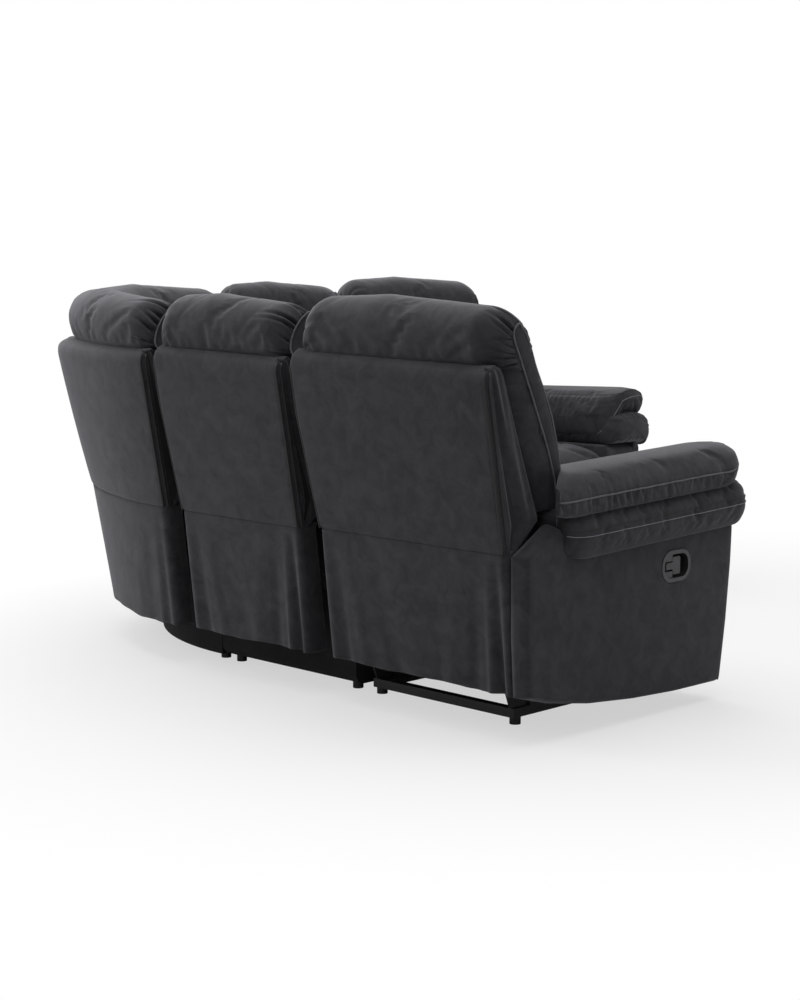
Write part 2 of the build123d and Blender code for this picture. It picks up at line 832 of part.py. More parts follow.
wedge_pads = {
    "corner_headrest": ((headrest_outline, end_shares, headrest_radius),),
    "corner_back_cushion": (
        (chest_outline, cushion_shares, pad_radius),
        (lumbar_outline, cushion_shares, pad_radius),
    ),
}
wedge_halves = ((turn_inset / 2, 45 - half_gap), (45 + half_gap, 90 - turn_inset / 2))
for name, pads in wedge_pads.items():
    halves = [
        curved_pillow(low, high, lowered(outline, middle_drop), shares, radius)
        for low, high in wedge_halves
        for outline, shares, radius in pads
    ]
    with BuildPart() as cushion:
        for half in halves:
            add(half)
    single[name] = cushion.part


def wedge_plan(rear, front, inset):
    """Corner seat seen from above: straight sides, a round rear and a straight front across the corner."""
    radius = corner_side - rear - inset
    near_rear = (corner_x - inset, corner_side - radius)
    near_front = (corner_x - inset, front - inset)
    far_front = (corner_x - corner_side + front - inset, corner_side - inset)
    far_rear = (corner_x - radius, corner_side - inset)
    middle = (corner_x - radius * sin(radians(45)), corner_side - radius * cos(radians(45)))
    with BuildSketch() as plan:
        with BuildLine():
            Polyline(near_rear, near_front, far_front, far_rear)
            ThreePointArc(far_rear, middle, near_rear)
        make_face()
    return plan.sketch


with BuildPart() as corner_box:
    with BuildSketch(level(glide_height)):
        add(wedge_plan(box_rear, box_front, module_gap / 2))
    extrude(amount=box_top - glide_height)
    for turn in corner_upright_turns:
        with BuildSketch(spoke(turn)):
            Polygon(*upright_outline(middle_drop))
        extrude(amount=upright_width / 2, both=True)
single["corner_box_base"] = corner_box.part

with BuildPart() as corner_seat:
    corner_seat_layers = (
        (seat_bottom, corner_seat_tuck),
        (seat_bottom + corner_seat_round, 0),
        (seat_height - corner_seat_round, 0),
        (seat_height, corner_seat_crown),
    )
    for z, inset in corner_seat_layers:
        with BuildSketch(level(z)):
            add(wedge_plan(seat_rear, seat_front, module_gap / 2 + inset))
    loft(ruled=True)
single["corner_seat_cushion"] = corner_seat.part

# Floor glides of both legs and the corner, one group
glide_places = [
    (x, y)
    for x in (
        base_left + rail_width / 2,
        base_right - rail_width / 2,
        middle_x - module_gap - glide_inset,
        corner_x + module_gap + glide_inset,
        corner_x - glide_inset,
    )
    for y in (glide_rear, glide_front)
]
with BuildPart() as leg_glides:
    with BuildSketch(level(0)):
        with Locations(*glide_places):
            RegularPolygon(glide_radius, glide_sides)
    extrude(amount=glide_height)
with BuildPart() as floor_glides:
    add(leg_glides.part)
    mirror(leg_glides.part, about=diagonal)
    corner_reach = (corner_side - box_rear - glide_inset) * sin(radians(45))
    with BuildSketch(Plane.XY):
        with Locations((centre - corner_reach, centre - corner_reach)):
            RegularPolygon(glide_radius, glide_sides)
    extrude(amount=glide_height)
single["floor_glides"] = floor_glides.part

# Connectors that hold neighbouring modules together: two plates and a tongue between them
connector_spans = (
    (middle_x - module_gap / 2, base_left),
    (corner_x - module_gap / 2, corner_x + module_gap / 2),
)
with BuildPart() as leg_connectors:
    for x_low, x_high in connector_spans:
        for x, thickness, height in (
            (x_low, connector_plate, connector_height),
            (x_high - connector_plate, connector_plate, connector_height),
            (x_low, x_high - x_low, connector_height / 2),
        ):
            with BuildSketch(side(x)):
                with Locations((post_rear + rail_width / 2, connector_z)):
                    Rectangle(connector_width, height)
            extrude(amount=thickness)
with BuildPart() as connectors:
    add(leg_connectors.part)
    mirror(leg_connectors.part, about=diagonal)
single["module_connectors"] = connectors.part

os.makedirs("parts", exist_ok=True)
for name, solid in right.items():
    solid.label = "right_" + name
    export_step(solid, f"parts/right_{name}.step")
    with BuildPart() as left:
        mirror(solid, about=diagonal)
    left.part.label = "left_" + name
    export_step(left.part, f"parts/left_{name}.step")
for name, solid in single.items():
    solid.label = name
    export_step(solid, f"parts/{name}.step")
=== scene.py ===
"""Corner reclining sofa in charcoal microfibre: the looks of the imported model, piece by piece.

Places are millimetres on the right leg: x from the outer edge of the end seat's back, negative towards
the corner, y forward from the foot of the back, z above the floor. Past the corner's start the same x
runs along the corner's arc. The left leg is the right one with the frame's x and y exchanged.
"""
import math

import bmesh
import bpy
import numpy as np
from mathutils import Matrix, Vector


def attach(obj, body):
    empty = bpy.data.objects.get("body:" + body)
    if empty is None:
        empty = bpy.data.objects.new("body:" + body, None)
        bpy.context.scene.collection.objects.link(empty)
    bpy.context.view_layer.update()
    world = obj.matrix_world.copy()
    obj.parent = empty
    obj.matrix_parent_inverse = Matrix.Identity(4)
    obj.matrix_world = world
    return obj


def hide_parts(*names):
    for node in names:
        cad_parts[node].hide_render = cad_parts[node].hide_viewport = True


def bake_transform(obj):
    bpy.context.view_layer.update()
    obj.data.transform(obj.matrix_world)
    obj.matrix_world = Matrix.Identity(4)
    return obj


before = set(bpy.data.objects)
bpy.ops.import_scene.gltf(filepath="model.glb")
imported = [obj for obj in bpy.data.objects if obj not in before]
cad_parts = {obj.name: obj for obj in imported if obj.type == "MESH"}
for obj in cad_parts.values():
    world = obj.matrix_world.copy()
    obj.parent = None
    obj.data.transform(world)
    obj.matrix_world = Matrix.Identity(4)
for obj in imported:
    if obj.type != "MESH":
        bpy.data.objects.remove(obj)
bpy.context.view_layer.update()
scene = bpy.context.scene


# Steel base: square tube rails, guide rails and hinge plates under each reclining seat, welded and
# powder coated black, with the footrest's zinc-plated links and the hooks that join the modules.
def linear(code):
    """sRGB hex to linear colour: the 2.4 power law above 0.04045 and a straight line below it."""
    value = np.array([int(code[i : i + 2], 16) for i in (1, 3, 5)]) / 255
    value = np.where(value > 0.04045, ((value + 0.055) / 1.055) ** 2.4, value / 12.92)
    return (*value.tolist(), 1.0)


def node(tree, kind, settings=None, links=None):
    """Adds a node, sets its properties or input values and links its inputs to (node, output) pairs."""
    made = tree.nodes.new(kind)
    for name, value in (settings or {}).items():
        if isinstance(name, int) or name in made.inputs:
            made.inputs[name].default_value = value
        else:
            setattr(made, name, value)
    for name, (source, output) in (links or {}).items():
        tree.links.new(source.outputs[output], made.inputs[name])
    return made


def surface_finish(name, dark, light, patch_mm, grain_mm, grain_depth_mm, shader):
    """Material of two colours in soft patches, with a bumped grain, both sized in millimetres, and the
    shader's own uniform values."""
    made = bpy.data.materials.new(name)
    made.use_nodes = True
    tree = made.node_tree
    tree.nodes.clear()
    place = {"Vector": (node(tree, "ShaderNodeTexCoord"), "Object")}
    blotch = {"Scale": 1000 / patch_mm, "Detail": 5.0, "Roughness": 0.62, "Distortion": 0.6}
    patches = node(tree, "ShaderNodeTexNoise", blotch, place)
    ramp = node(tree, "ShaderNodeValToRGB", {}, {"Fac": (patches, "Fac")})
    for element, share, colour in zip(ramp.color_ramp.elements, (0.32, 0.68), (dark, light)):
        element.position = share
        element.color = linear(colour)
    fibre = {"Scale": 1000 / grain_mm, "Detail": 3.0, "Roughness": 0.6}
    grain = node(tree, "ShaderNodeTexNoise", fibre, place)
    depth = {"Strength": 0.6, "Distance": grain_depth_mm / 1000}
    bump = node(tree, "ShaderNodeBump", depth, {"Height": (grain, "Fac")})
    links = {"Base Color": (ramp, "Color"), "Normal": (bump, "Normal")}
    surface = node(tree, "ShaderNodeBsdfPrincipled", shader, links)
    node(tree, "ShaderNodeOutputMaterial", {}, {"Surface": (surface, "BSDF")})
    return made


def dress(material, *endings):
    """Gives the CAD nodes whose names end so this material."""
    for name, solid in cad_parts.items():
        if name.endswith(endings):
            for slot in solid.material_slots:
                slot.material = material


powder_coat = surface_finish(
    "black_powder_coat", "#1b1b1c", "#242425", 24, 1.4, 0.15, {"Roughness": 0.5, "IOR": 1.5}
)
zinc_plate = surface_finish(
    "zinc_plated_steel", "#9c9ea0", "#b8babb", 18, 2.0, 0.05, {"Roughness": 0.38, "Metallic": 1.0}
)
dress(powder_coat, "base_frame", "hinge_arms", "footrest_board")
dress(zinc_plate, "rear_links", "front_links", "module_connectors")

# Floor glides: turned feet of black plastic, one at each corner of a base, nailed on from below, so that
# the sofa slides on a hard floor.
glide_plastic = surface_finish(
    "black_glide_plastic", "#151516", "#1e1e20", 12, 1.0, 0.05, {"Roughness": 0.42, "IOR": 1.49}
)
dress(glide_plastic, "floor_glides")

# Timber frames and boxes: the boxes under the fixed seats and the frames inside seats, backs and arms are
# covered with black spun-bonded lining cloth, stapled on, which looks matt and slightly fibrous.
lining_cloth = surface_finish(
    "black_lining_cloth", "#131314", "#1d1d1f", 35, 3.0, 0.3, {"Roughness": 0.95}
)
dress(lining_cloth, "box_base", "back_frame", "arm_frame", "seat_frame")

# Outer back panels: the upholstery, a brushed polyester microfibre that looks like nubuck, pulled over a
# padded board and stapled along its border. Its nap lies in soft patches and catches grazing light.
nap = {
    "Roughness": 0.82,
    "Specular IOR Level": 0.28,
    "Sheen Weight": 0.55,
    "Sheen Roughness": 0.45,
    "Sheen Tint": linear("#9a9ca3"),
}
microfibre = surface_finish("charcoal_microfibre", "#262427", "#3b393c", 46, 2.2, 0.5, nap)
legs = ("right", "left")
leg_origin = 1085.5, -1034.5
corner_x, corner_side = -1206.0, 914.0
quarter = corner_side * math.pi / 2
flap_foot = 118.0
foot_swell, head_swell, swell_height = 0.02, 0.045, 780.0


def on_sofa(points):
    """Leg millimetres to frame metres. Past the corner's start x is the length along an arc of the
    corner's radius, so the point lies at radius (side - y) and turn (start - x) / side. Towards the middle
    of the corner the radius grows with the sixth power of sin(2 turn), more at the top than at the foot."""
    x, y, z = np.moveaxis(np.asarray(points, float), -1, 0)
    turn = np.clip(corner_x - x, 0, None) / corner_side
    swell = foot_swell + head_swell * np.clip((z - flap_foot) / swell_height, 0, 1)
    radius = (corner_side - y) * (1 + swell * np.sin(2 * turn) ** 6)
    around = corner_x - radius * np.sin(turn), corner_side - radius * np.cos(turn)
    flat = [np.where(x < corner_x, bent, straight) for bent, straight in zip(around, (x, y))]
    return np.stack([flat[0] + leg_origin[0], flat[1] + leg_origin[1], z], -1) / 1000


def outward_mesh(name, points, faces):
    """Mesh from points and faces, with every closed shell's faces turned outwards."""
    mesh = bpy.data.meshes.new(name)
    mesh.from_pydata(np.asarray(points).tolist(), [], faces)
    work = bmesh.new()
    work.from_mesh(mesh)
    bmesh.ops.recalc_face_normals(work, faces=work.faces)
    work.to_mesh(mesh)
    work.free()
    mesh.shade_smooth()
    return mesh


def piece(name, shell, body="root", nodes=(), fill=None, material=microfibre, slot="upholstery", swap=False):
    """One finished piece from a shell of leg millimetres and faces, on a body, in place of its nodes.
    fill is not used. swap puts it on the left leg."""
    points = on_sofa(shell[0])
    mesh = outward_mesh(name, points[:, [1, 0, 2]] if swap else points, shell[1])
    mesh.materials.append(material)
    made = bpy.data.objects.new(name, mesh)
    scene.collection.objects.link(made)
    if body:
        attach(made, body)
    if nodes:
        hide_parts(*nodes)
    return made


def on_both_legs(name, shell, body="root", nodes=(), **look):
    """The same piece on the right leg and, exchanged, on the left; body is root or one of the leg's own."""
    made = []
    for leg in legs:
        rides = body if body in ("root", None) else f"{leg}_{body}"
        own = [f"{leg}_{name_end}" for name_end in nodes]
        made.append(piece(f"{leg}_{name}", shell, rides, own, swap=leg == "left", **look))
    return made


def on_module(module, name, shell, body="back", nodes=(), **look):
    """A module's piece: the corner's is one and the armless seats' are two, on the root, and the end seats'
    are two, each on its leg's body."""
    nodes = [module + name_end for name_end in nodes]
    if module == "corner_":
        return [piece(module + name, shell, "root", nodes, **look)]
    return on_both_legs(module + name, shell, "root" if module else body, nodes, **look)


def joined(*shells):
    """Several shells as one: points in a row, and each shell's faces counted on from the last."""
    starts = np.cumsum([0] + [len(points) for points, _ in shells])
    faces = [[v + int(start) for v in face] for (_, fs), start in zip(shells, starts) for face in fs]
    return np.concatenate([points for points, _ in shells]), faces


def quads(index):
    """Four-cornered faces between neighbouring rows and columns of a grid of point numbers."""
    corners = index[:-1, :-1], index[:-1, 1:], index[1:, 1:], index[1:, :-1]
    return np.stack(corners, -1).reshape(-1, 4).tolist()


def spread(count, rim):
    """Shares 0 to 1, seven of them close together inside the rim at each end as on a quarter circle."""
    near = rim * (1 - np.cos(np.linspace(0, np.pi / 2, 7)))
    return np.concatenate([near, np.linspace(rim, 1 - rim, count)[1:-1], 1 - near[::-1]])


def rim_rise(share, rim, power):
    """Height 0 to 1 of a rounded border: a superellipse within the rim, level inside it."""
    near = np.clip(1 - np.minimum(share, 1 - share) / rim, 0, 1)
    return (1 - near**power) ** (1 / power)


def two_sided(top, base):
    """Shell between a raised grid and a base grid that share their border."""
    rows, columns = top.shape[:2]
    over = np.arange(rows * columns).reshape(rows, columns)
    under = over.copy()
    under[1:-1, 1:-1] = rows * columns + np.arange((rows - 2) * (columns - 2)).reshape(rows - 2, -1)
    points = np.concatenate([top.reshape(-1, 3), base[1:-1, 1:-1].reshape(-1, 3)])
    return points, quads(over) + quads(under[:, ::-1])


def slab(place, outward, size, thickness, edge, crown, count=(24, 24), power=2.2, relief=None):
    """Upholstered slab: a flat base and over it the same grid raised by the thickness, rounded to nothing
    within the edge, swelled by crown in the middle and moved by relief. place maps shares to places."""
    rims = np.broadcast_to(edge, 2) / size
    a, b = np.meshgrid(spread(count[0], rims[0]), spread(count[1], rims[1]), indexing="ij")
    base = place(a, b)
    rise = thickness * rim_rise(a, rims[0], power) * rim_rise(b, rims[1], power)
    swell = np.sin(np.pi * a) ** 0.7 * np.sin(np.pi * b) ** 0.7
    rise = rise + crown * swell
    if relief is not None:
        rise = rise + relief(a, b) * swell**0.4
    return two_sided(base + rise[..., None] * np.asarray(outward, float), base)


seam_z, panel_top, seam_setback, top_setback = 450.0, 888.0, 38.0, 114.0
back_slope = (top_setback - seam_setback) / (panel_top - seam_z)
lean = math.hypot(1, back_slope)
panel_depth, panel_crown, panel_edge = 24.0, 5.0, (11, 19)
ledge_rear, ledge_depth, ledge_sink = -80.0, 62.0, 7.0
ledge_start, ledge_short = 5.0, 40.0
roll_reach, roll_from, roll_over = 21.0, 0.915, 0.085
middle_drop = 8.0
corner_turns = math.radians(2.2), math.radians(87.8)
panels = {
    "": (-622.0, 0.0, 0.0, 30.0),
    "middle_": (-1168.0, -698.0, middle_drop, 26.0),
    "corner_": (*[corner_x - corner_side * turn for turn in corner_turns[::-1]], middle_drop, 0.0),
}


def outer_back(z):
    """How far y the outer face of a leaning back lies at a height: the setback grows with the slope."""
    return -seam_setback - back_slope * (z - seam_z)


def fuller_edge(low, fuller, z):
    """Place of a panel's edge on the corner's side: it moves out by fuller over two thirds of the height."""
    return low - fuller * np.clip(1.5 * (z - seam_z) / (panel_top - seam_z), 0, 1)


def back_panel(low, high, drop, fuller):
    """Leaning panel slab between its fuller edge and the other x, its lower edge on the seam. The top rolls
    forward over a flat ledge under the headrest, and rises by half of fuller on the corner's side."""

    def place(a, b):
        z = seam_z - 1 + (panel_top - seam_z + 0.5 * fuller * (1 - a)) * b
        x = high * a + fuller_edge(low, fuller, z) * (1 - a)
        roll = roll_reach * np.clip((b - roll_from) / roll_over, 0, 1) ** 2
        return np.stack([x, outer_back(z) + panel_depth + roll, z - drop], -1)

    def ledge(a, b):
        x = low - fuller + ledge_start + (high - low + fuller - ledge_short) * a
        z = panel_top - ledge_sink - drop + 0.5 * fuller * (1 - a)
        return np.stack([x, ledge_rear + ledge_depth * b, z], -1)

    outward = (0, -1 / lean, -back_slope / lean)
    width, columns = high - low, max(24, int((high - low) / 24))
    size = width, panel_top - seam_z
    return joined(
        slab(place, outward, size, panel_depth, panel_edge, panel_crown, (columns, 24)),
        slab(ledge, (0, 0, 1), (width, ledge_depth), thickness=6, edge=5, crown=0, count=(columns, 6)),
    )


for module, sizes in panels.items():
    for cover in on_module(module, "outer_back", back_panel(*sizes), nodes=["back_panel"], fill=0.9):
        soften = cover.modifiers.new("soften", "SUBSURF")
        soften.levels = soften.render_levels = 1

# Back flaps: a hanging sheet of the same cloth that closes the back below the seam, wrapped round both
# edges of the module and hemmed, free at its foot, with soft vertical folds at the wrapped edges.
flap_top, flap_return, flap_round, flap_columns = 449.0, 58.0, 16.0, 150
tuck_in, tuck_up = 13.0, 13.0
corner_foot, corner_calm, corner_stretch = 110.0, 0.4, 1.03


def evenly(line, count, closed):
    """Points at equal lengths along a polyline; a closed one ends before its first point."""
    line = np.vstack([line, line[:1]]) if closed else np.asarray(line, float)
    run = np.concatenate([[0], np.cumsum(np.linalg.norm(np.diff(line, axis=0), axis=1))])
    at = np.linspace(0, run[-1], count, endpoint=not closed)
    return np.stack([np.interp(at, run, column) for column in line.T], -1)


def grid_normals(grid, closed):
    """Unit normals of a grid of places: the cross product of its differences along rows and columns."""
    along = np.gradient(grid, axis=0)
    around = np.roll(grid, -1, 1) - np.roll(grid, 1, 1) if closed else np.gradient(grid, axis=1)
    normal = np.cross(along, around)
    return normal / (np.linalg.norm(normal, axis=-1, keepdims=True) + 1e-9)


def cloth_shell(grid, thickness):
    """A sheet's two faces, the thickness apart along its normals, with the four borders closed."""
    rows, columns = grid.shape[:2]
    front = np.arange(rows * columns).reshape(rows, columns)
    rear = front + rows * columns
    border = np.concatenate([front[0], front[1:, -1], front[-1, -2::-1], front[-2:0:-1, 0]])
    points = np.concatenate([grid, grid - thickness * grid_normals(grid, False)]).reshape(-1, 3)
    after = np.roll(border, -1)
    rim = np.stack([border, after, after + rows * columns, border + rows * columns], -1).tolist()
    return points, quads(front) + quads(rear[:, ::-1]) + rim


def flap_grid(low, high, drop, foot, folds):
    """Sheet grid from seam to hem, tucked in behind the panel at its head. Across, it follows a U with
    rounded corners; down, its setback fades to nothing. folds are (place, width, height, slant) ridges that
    grow towards the hem."""
    turn = np.linspace(0, np.pi / 2, 7)
    ahead, aside = flap_round * (1 - np.sin(turn)), flap_round * (1 - np.cos(turn))
    near, far = np.stack([low + aside, ahead], -1), np.stack([high - ahead, aside], -1)
    path = evenly(np.vstack([[low, flap_return], near, far, [high, flap_return]]), flap_columns, False)
    run = np.linspace(0, np.linalg.norm(np.diff(path, axis=0), axis=1).sum(), flap_columns)
    side = np.gradient(path, axis=0)
    side = np.stack([side[:, 1], -side[:, 0]], -1) / np.linalg.norm(side, axis=1, keepdims=True)
    down = np.linspace(0, 1, 30)[:, None]
    fold = sum(
        height * np.exp(-(((run - place - slant * down) / width) ** 2)) * down**0.8
        for place, width, height, slant in folds
    )
    hem = 1.8 * np.sin(run / 53 + low) + 1.0 * np.sin(run / 23 + high)
    z = flap_top + (foot - flap_top + hem) * down
    setback = outer_back(flap_top) * (1 - down) + 1.5
    x = path[:, 0] + side[:, 0] * fold
    y = path[:, 1] + side[:, 1] * fold + setback
    grid = np.stack([x + 0 * z, y, z - drop * (1 - down)], -1)
    return np.concatenate([grid[:1] + [0, tuck_in, tuck_up], grid]), run[-1]


near_folds = [(12, 14, 6, 6), (44, 16, -6, 14), (84, 22, 5, 40), (150, 30, -4, 90)]
far_folds = [(14, 12, 12, -4), (38, 10, -11, -8), (62, 13, 9, -12), (100, 20, -7, -30), (150, 26, 4, -60)]
for module, (low, high, drop, _) in panels.items():
    in_corner = module == "corner_"
    folds = [(flap_return + place, *form) for place, *form in near_folds]
    folds += [(flap_return + high - low - place, *form) for place, *form in far_folds]
    folds.append((flap_return + (high - low) * 0.45, 70, 5, 30))
    if in_corner:
        folds = [(place, width, corner_calm * height, slant) for place, width, height, slant in folds]
    grid, flap_width = flap_grid(low, high, drop, corner_foot if in_corner else flap_foot, folds)
    nodes = [] if in_corner else ["back_flap"]
    for cloth in on_module(module, "flap_cloth", cloth_shell(grid, 3), None, nodes):
        if not module:
            leg = cloth.name.split("_")[0]
            middle = [-311, outer_back(seam_z)]
            bend = on_sofa([[*middle, flap_top - 4], [*middle, flap_top - 150]])
            bend = bend if leg == "right" else bend[:, [1, 0, 2]]
            tuple(bend[1])
            tuple(bend[0])
            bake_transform(cloth)

# Side strips: a strip of the same cloth sewn to the panel's edge seam that covers each side of the back
# frame, from the panel to the cushion, and widens downwards to the elbow above the arm.
strip_front = np.array([[446, -11], [522, 85], [713, 13], [865, -40], [886, -58]], float)
strip_foot, strip_height, strip_width, strip_inset = 448, 436, 60, 14


def side_strip(x, outward, drop, fuller):
    """Thin slab beside x between the panel's edge and the strip's front line, with a valley and a ridge that
    run down it and part towards the foot."""

    def place(a, b):
        z = strip_foot + strip_height * b
        rear = outer_back(z) + 17
        front = np.maximum(np.interp(z, *strip_front.T), rear + 6)
        return np.stack([fuller_edge(x, fuller, z), rear + (front - rear) * a, z - drop], -1)

    def relief(a, b):
        valley = -13 * np.exp(-(((a - 0.14 - 0.16 * (1 - b)) / 0.11) ** 2)) * np.sqrt(1 - b)
        ridge = 5 * np.exp(-(((a - 0.3 - 0.4 * (1 - b)) / 0.16) ** 2))
        return valley + ridge + 1.2 * np.sin(17 * a - 5 * b)

    return slab(
        place, (outward, 0, 0), (strip_width, strip_height), thickness=13, edge=(7, 9), crown=2.5,
        count=(34, 40), power=2.0, relief=relief,
    )


for module, (low, high, drop, fuller) in panels.items():
    near, far = side_strip(high - strip_inset, 1, drop, 0), side_strip(low + strip_inset, -1, drop, fuller)
    on_module(module, "side_strips", joined(near, far), fill=0.9)

# Panel seams: the panel's upright edges are sewn to the side strips with two rows of thread, which pull a
# groove.
# The two near-black cords, 6.4 mm thick, are partly that thread and partly painted shade of the groove.
thread_and_groove_shade = surface_finish("black_seam_thread", "#0e0e0f", "#151516", 9, 1.5, 0.2, {"Roughness": 0.7})
thread_rows = ((5, 2), (0, 14))


def tube(path, radius, sideways, closed=False):
    """Round cord along a path: circles of eight points in the plane of the sideways axis and the normal."""
    path = np.asarray(path, float)
    run = np.roll(path, -1, 0) - np.roll(path, 1, 0) if closed else np.gradient(path, axis=0)
    run /= np.linalg.norm(run, axis=1, keepdims=True)
    first = np.cross(run, sideways)
    first /= np.linalg.norm(first, axis=1, keepdims=True)
    second = np.cross(run, first)
    turn = np.linspace(0, 2 * np.pi, 8, endpoint=False)[:, None]
    rings = path[:, None] + radius * (np.cos(turn) * first[:, None] + np.sin(turn) * second[:, None])
    return pillow_shell(rings, path[[0, -1]])


def pillow_shell(grid, poles):
    """Closed shell of a grid of rings: four-cornered faces between rings and a fan at each pole."""
    rows, columns = grid.shape[:2]
    index = np.arange(rows * columns).reshape(rows, columns)
    index = np.concatenate([index, index[:, :1]], 1)
    fans = [
        np.stack([np.full(columns, rows * columns + k), ring[:-1], ring[1:]], -1).tolist()
        for k, ring in enumerate((index[0], index[-1][::-1]))
    ]
    return np.concatenate([grid.reshape(-1, 3), poles]), quads(index) + fans[0] + fans[1]


def panel_seam(x, behind, drop, fuller):
    """Near-black cord up a panel's edge at x, so far behind its outer face, bending forward at its head: the
    seam's thread and painted shade of its groove.
    """
    z = np.linspace(seam_z + 4, panel_top - 16, 40)
    y = outer_back(z) + behind + 10 * np.clip((z - 850) / 30, 0, 1)
    return tube(np.stack([fuller_edge(x, fuller, z), y, z - drop], -1), 3.2, (1.0, 0, 0))


# Two near-black cords up each upright edge: the seams' thread and painted shade of their grooves.
for module, (low, high, drop, fuller) in panels.items():
    threads = [panel_seam(high - inside, behind, drop, 0) for inside, behind in thread_rows]
    threads += [panel_seam(low + inside, behind, drop, fuller) for inside, behind in thread_rows]
    on_module(module, "panel_seams", joined(*threads), material=thread_and_groove_shade)


# Headrests: fibre-filled pillow rolls sewn across the top of each back, gathered at both ends into a
# narrow gusset, so that short pleats fan out from the seam and the roll sinks a little to one side.
def smooth_ring(corners, count):
    """Closed Catmull-Rom curve through the corner points, cut into equal lengths."""
    corners = np.asarray(corners, float)
    run = np.linspace(0, len(corners), 40 * len(corners), endpoint=False)
    first = run.astype(int)
    u = (run - first)[:, None]
    a, b, c, d = (corners[(first + k) % len(corners)] for k in (-1, 0, 1, 2))
    curve = b + 0.5 * u * (c - a + u * (2 * a - 5 * b + 4 * c - d + u * (3 * (b - c) + d - a)))
    return evenly(curve, count, True)


def pillow(profile, low, high, rows):
    """Grid of a profile ring carried along s. At each end, given as (full place, end place, end ring, dome),
    the profile turns into the end ring on a quarter ellipse, and the ring shrinks to a pole on a dome."""
    closing = np.linspace(0, np.pi / 2, 9)[1:]
    inward = np.array([0.82, 0.56, 0.28])

    def end(full, tip, ring, dome):
        reach = np.sign(tip - full) * dome
        place = np.concatenate([full + (tip - full) * np.sin(closing), tip + reach * (1 - inward**2)])
        share = np.concatenate([np.cos(closing), 0 * inward])[:, None, None]
        size = np.concatenate([1 + 0 * closing, inward])[:, None, None]
        middle = ring.mean(0)
        return place, (profile * share + ring * (1 - share) - middle) * size + middle, [tip + reach, *middle]

    low_place, low_rings, low_pole = end(*low)
    high_place, high_rings, high_pole = end(*high)
    place = np.concatenate([low_place[::-1], np.linspace(low[0], high[0], rows), high_place])
    rings = np.concatenate([low_rings[::-1], np.broadcast_to(profile, (rows, *profile.shape)), high_rings])
    column = np.broadcast_to(place[:, None, None], (*rings.shape[:2], 1))
    return np.concatenate([column, rings], -1), np.array([low_pole, high_pole])


def finer(grid):
    """Twice the rows and columns of a closed-column grid: each new point is the four-point average
    (9, 9, -1, -1) / 16 of its neighbours in line."""
    beside = np.roll(grid, -1, 1)
    between = (9 * (grid + beside) - np.roll(grid, 1, 1) - np.roll(grid, -2, 1)) / 16
    wide = np.stack([grid, between], 2).reshape(len(grid), -1, 3)
    longer = np.concatenate([wide[:1], wide, wide[-1:]])
    between = (9 * (wide[:-1] + wide[1:]) - longer[:-3] - longer[3:]) / 16
    both = np.empty((2 * len(wide) - 1, *wide.shape[1:]))
    both[::2], both[1::2] = wide, between
    return both


held_rings, filling_frames = 4, 20


def filled(grid, poles, held, cap):
    """The pillow after some frames as cloth under inside pressure, with the held points and the rings at
    both ends fixed, made finer. A move longer than the cap is cut to it."""
    points, faces = pillow_shell(grid, poles)
    blank = bpy.data.objects.new("blank", outward_mesh("blank", points / 1000, faces))
    scene.collection.objects.link(blank)
    pins = blank.vertex_groups.new(name="held")
    held = np.broadcast_to(held, grid.shape[:2]).copy()
    held[:held_rings], held[-held_rings:] = True, True
    fixed = np.concatenate([held.ravel(), [True, True]])
    pins.add(np.flatnonzero(fixed).tolist(), 1.0, "REPLACE")
    cloth = blank.modifiers.new("cloth", "CLOTH")
    cloth.settings.quality = 5
    cloth.settings.mass = 0.25
    cloth.settings.use_pressure = True
    cloth.settings.uniform_pressure_force = 4
    cloth.settings.vertex_group_mass = "held"
    cloth.settings.shrink_min = -0.01
    cloth.settings.effector_weights.gravity = 0
    cloth.collision_settings.use_collision = False
    cloth.point_cache.frame_start = 1
    cloth.point_cache.frame_end = filling_frames
    for count in range(1, filling_frames + 1):
        scene.frame_set(count)
    settled = blank.evaluated_get(bpy.context.evaluated_depsgraph_get()).data
    places = np.empty(3 * len(points))
    settled.vertices.foreach_get("co", places)
    bpy.data.objects.remove(blank)
    scene.frame_set(1)
    move = places.reshape(-1, 3)[:-2].reshape(grid.shape) * 1000 - grid
    length = np.linalg.norm(move, axis=-1, keepdims=True)
    return finer(grid + move * np.minimum(1, cap / (length + 1e-9)))


def gathers(across, reach, span, spacing, length, depth, seed):
    """Depth of gathered pleats along a seam: uneven grooves about the spacing apart, each a gaussian across
    that drifts sideways and fades with the reach from the seam, with a low ridge beside it."""
    draw = np.random.default_rng(seed)
    count = max(1, int(span / spacing))
    places = (np.arange(count) + draw.uniform(0.1, 0.9, count)) * span / count
    widths = draw.uniform(0.16, 0.3, count) * spacing
    lengths = draw.uniform(0.5, 1.35, count) * length
    depths = draw.uniform(0.4, 1.1, count) * depth
    drifts = draw.normal(0, 0.22, count)
    off = across[..., None] - places - drifts * reach[..., None]
    off = (off + span / 2) % span - span / 2
    fade = np.exp(-((reach[..., None] / lengths) ** 2)) * depths
    return (fade * (0.35 * np.exp(-((off / widths / 2.4) ** 2)) - np.exp(-((off / widths) ** 2)))).sum(-1)


def lifted(grid, height):
    """The grid moved along its outward normals by a height."""
    normal = grid_normals(grid, True)
    middle = grid.mean(1, keepdims=True)
    sense = np.sign((normal * (grid - middle)).sum())
    return grid + (sense * height)[..., None] * normal


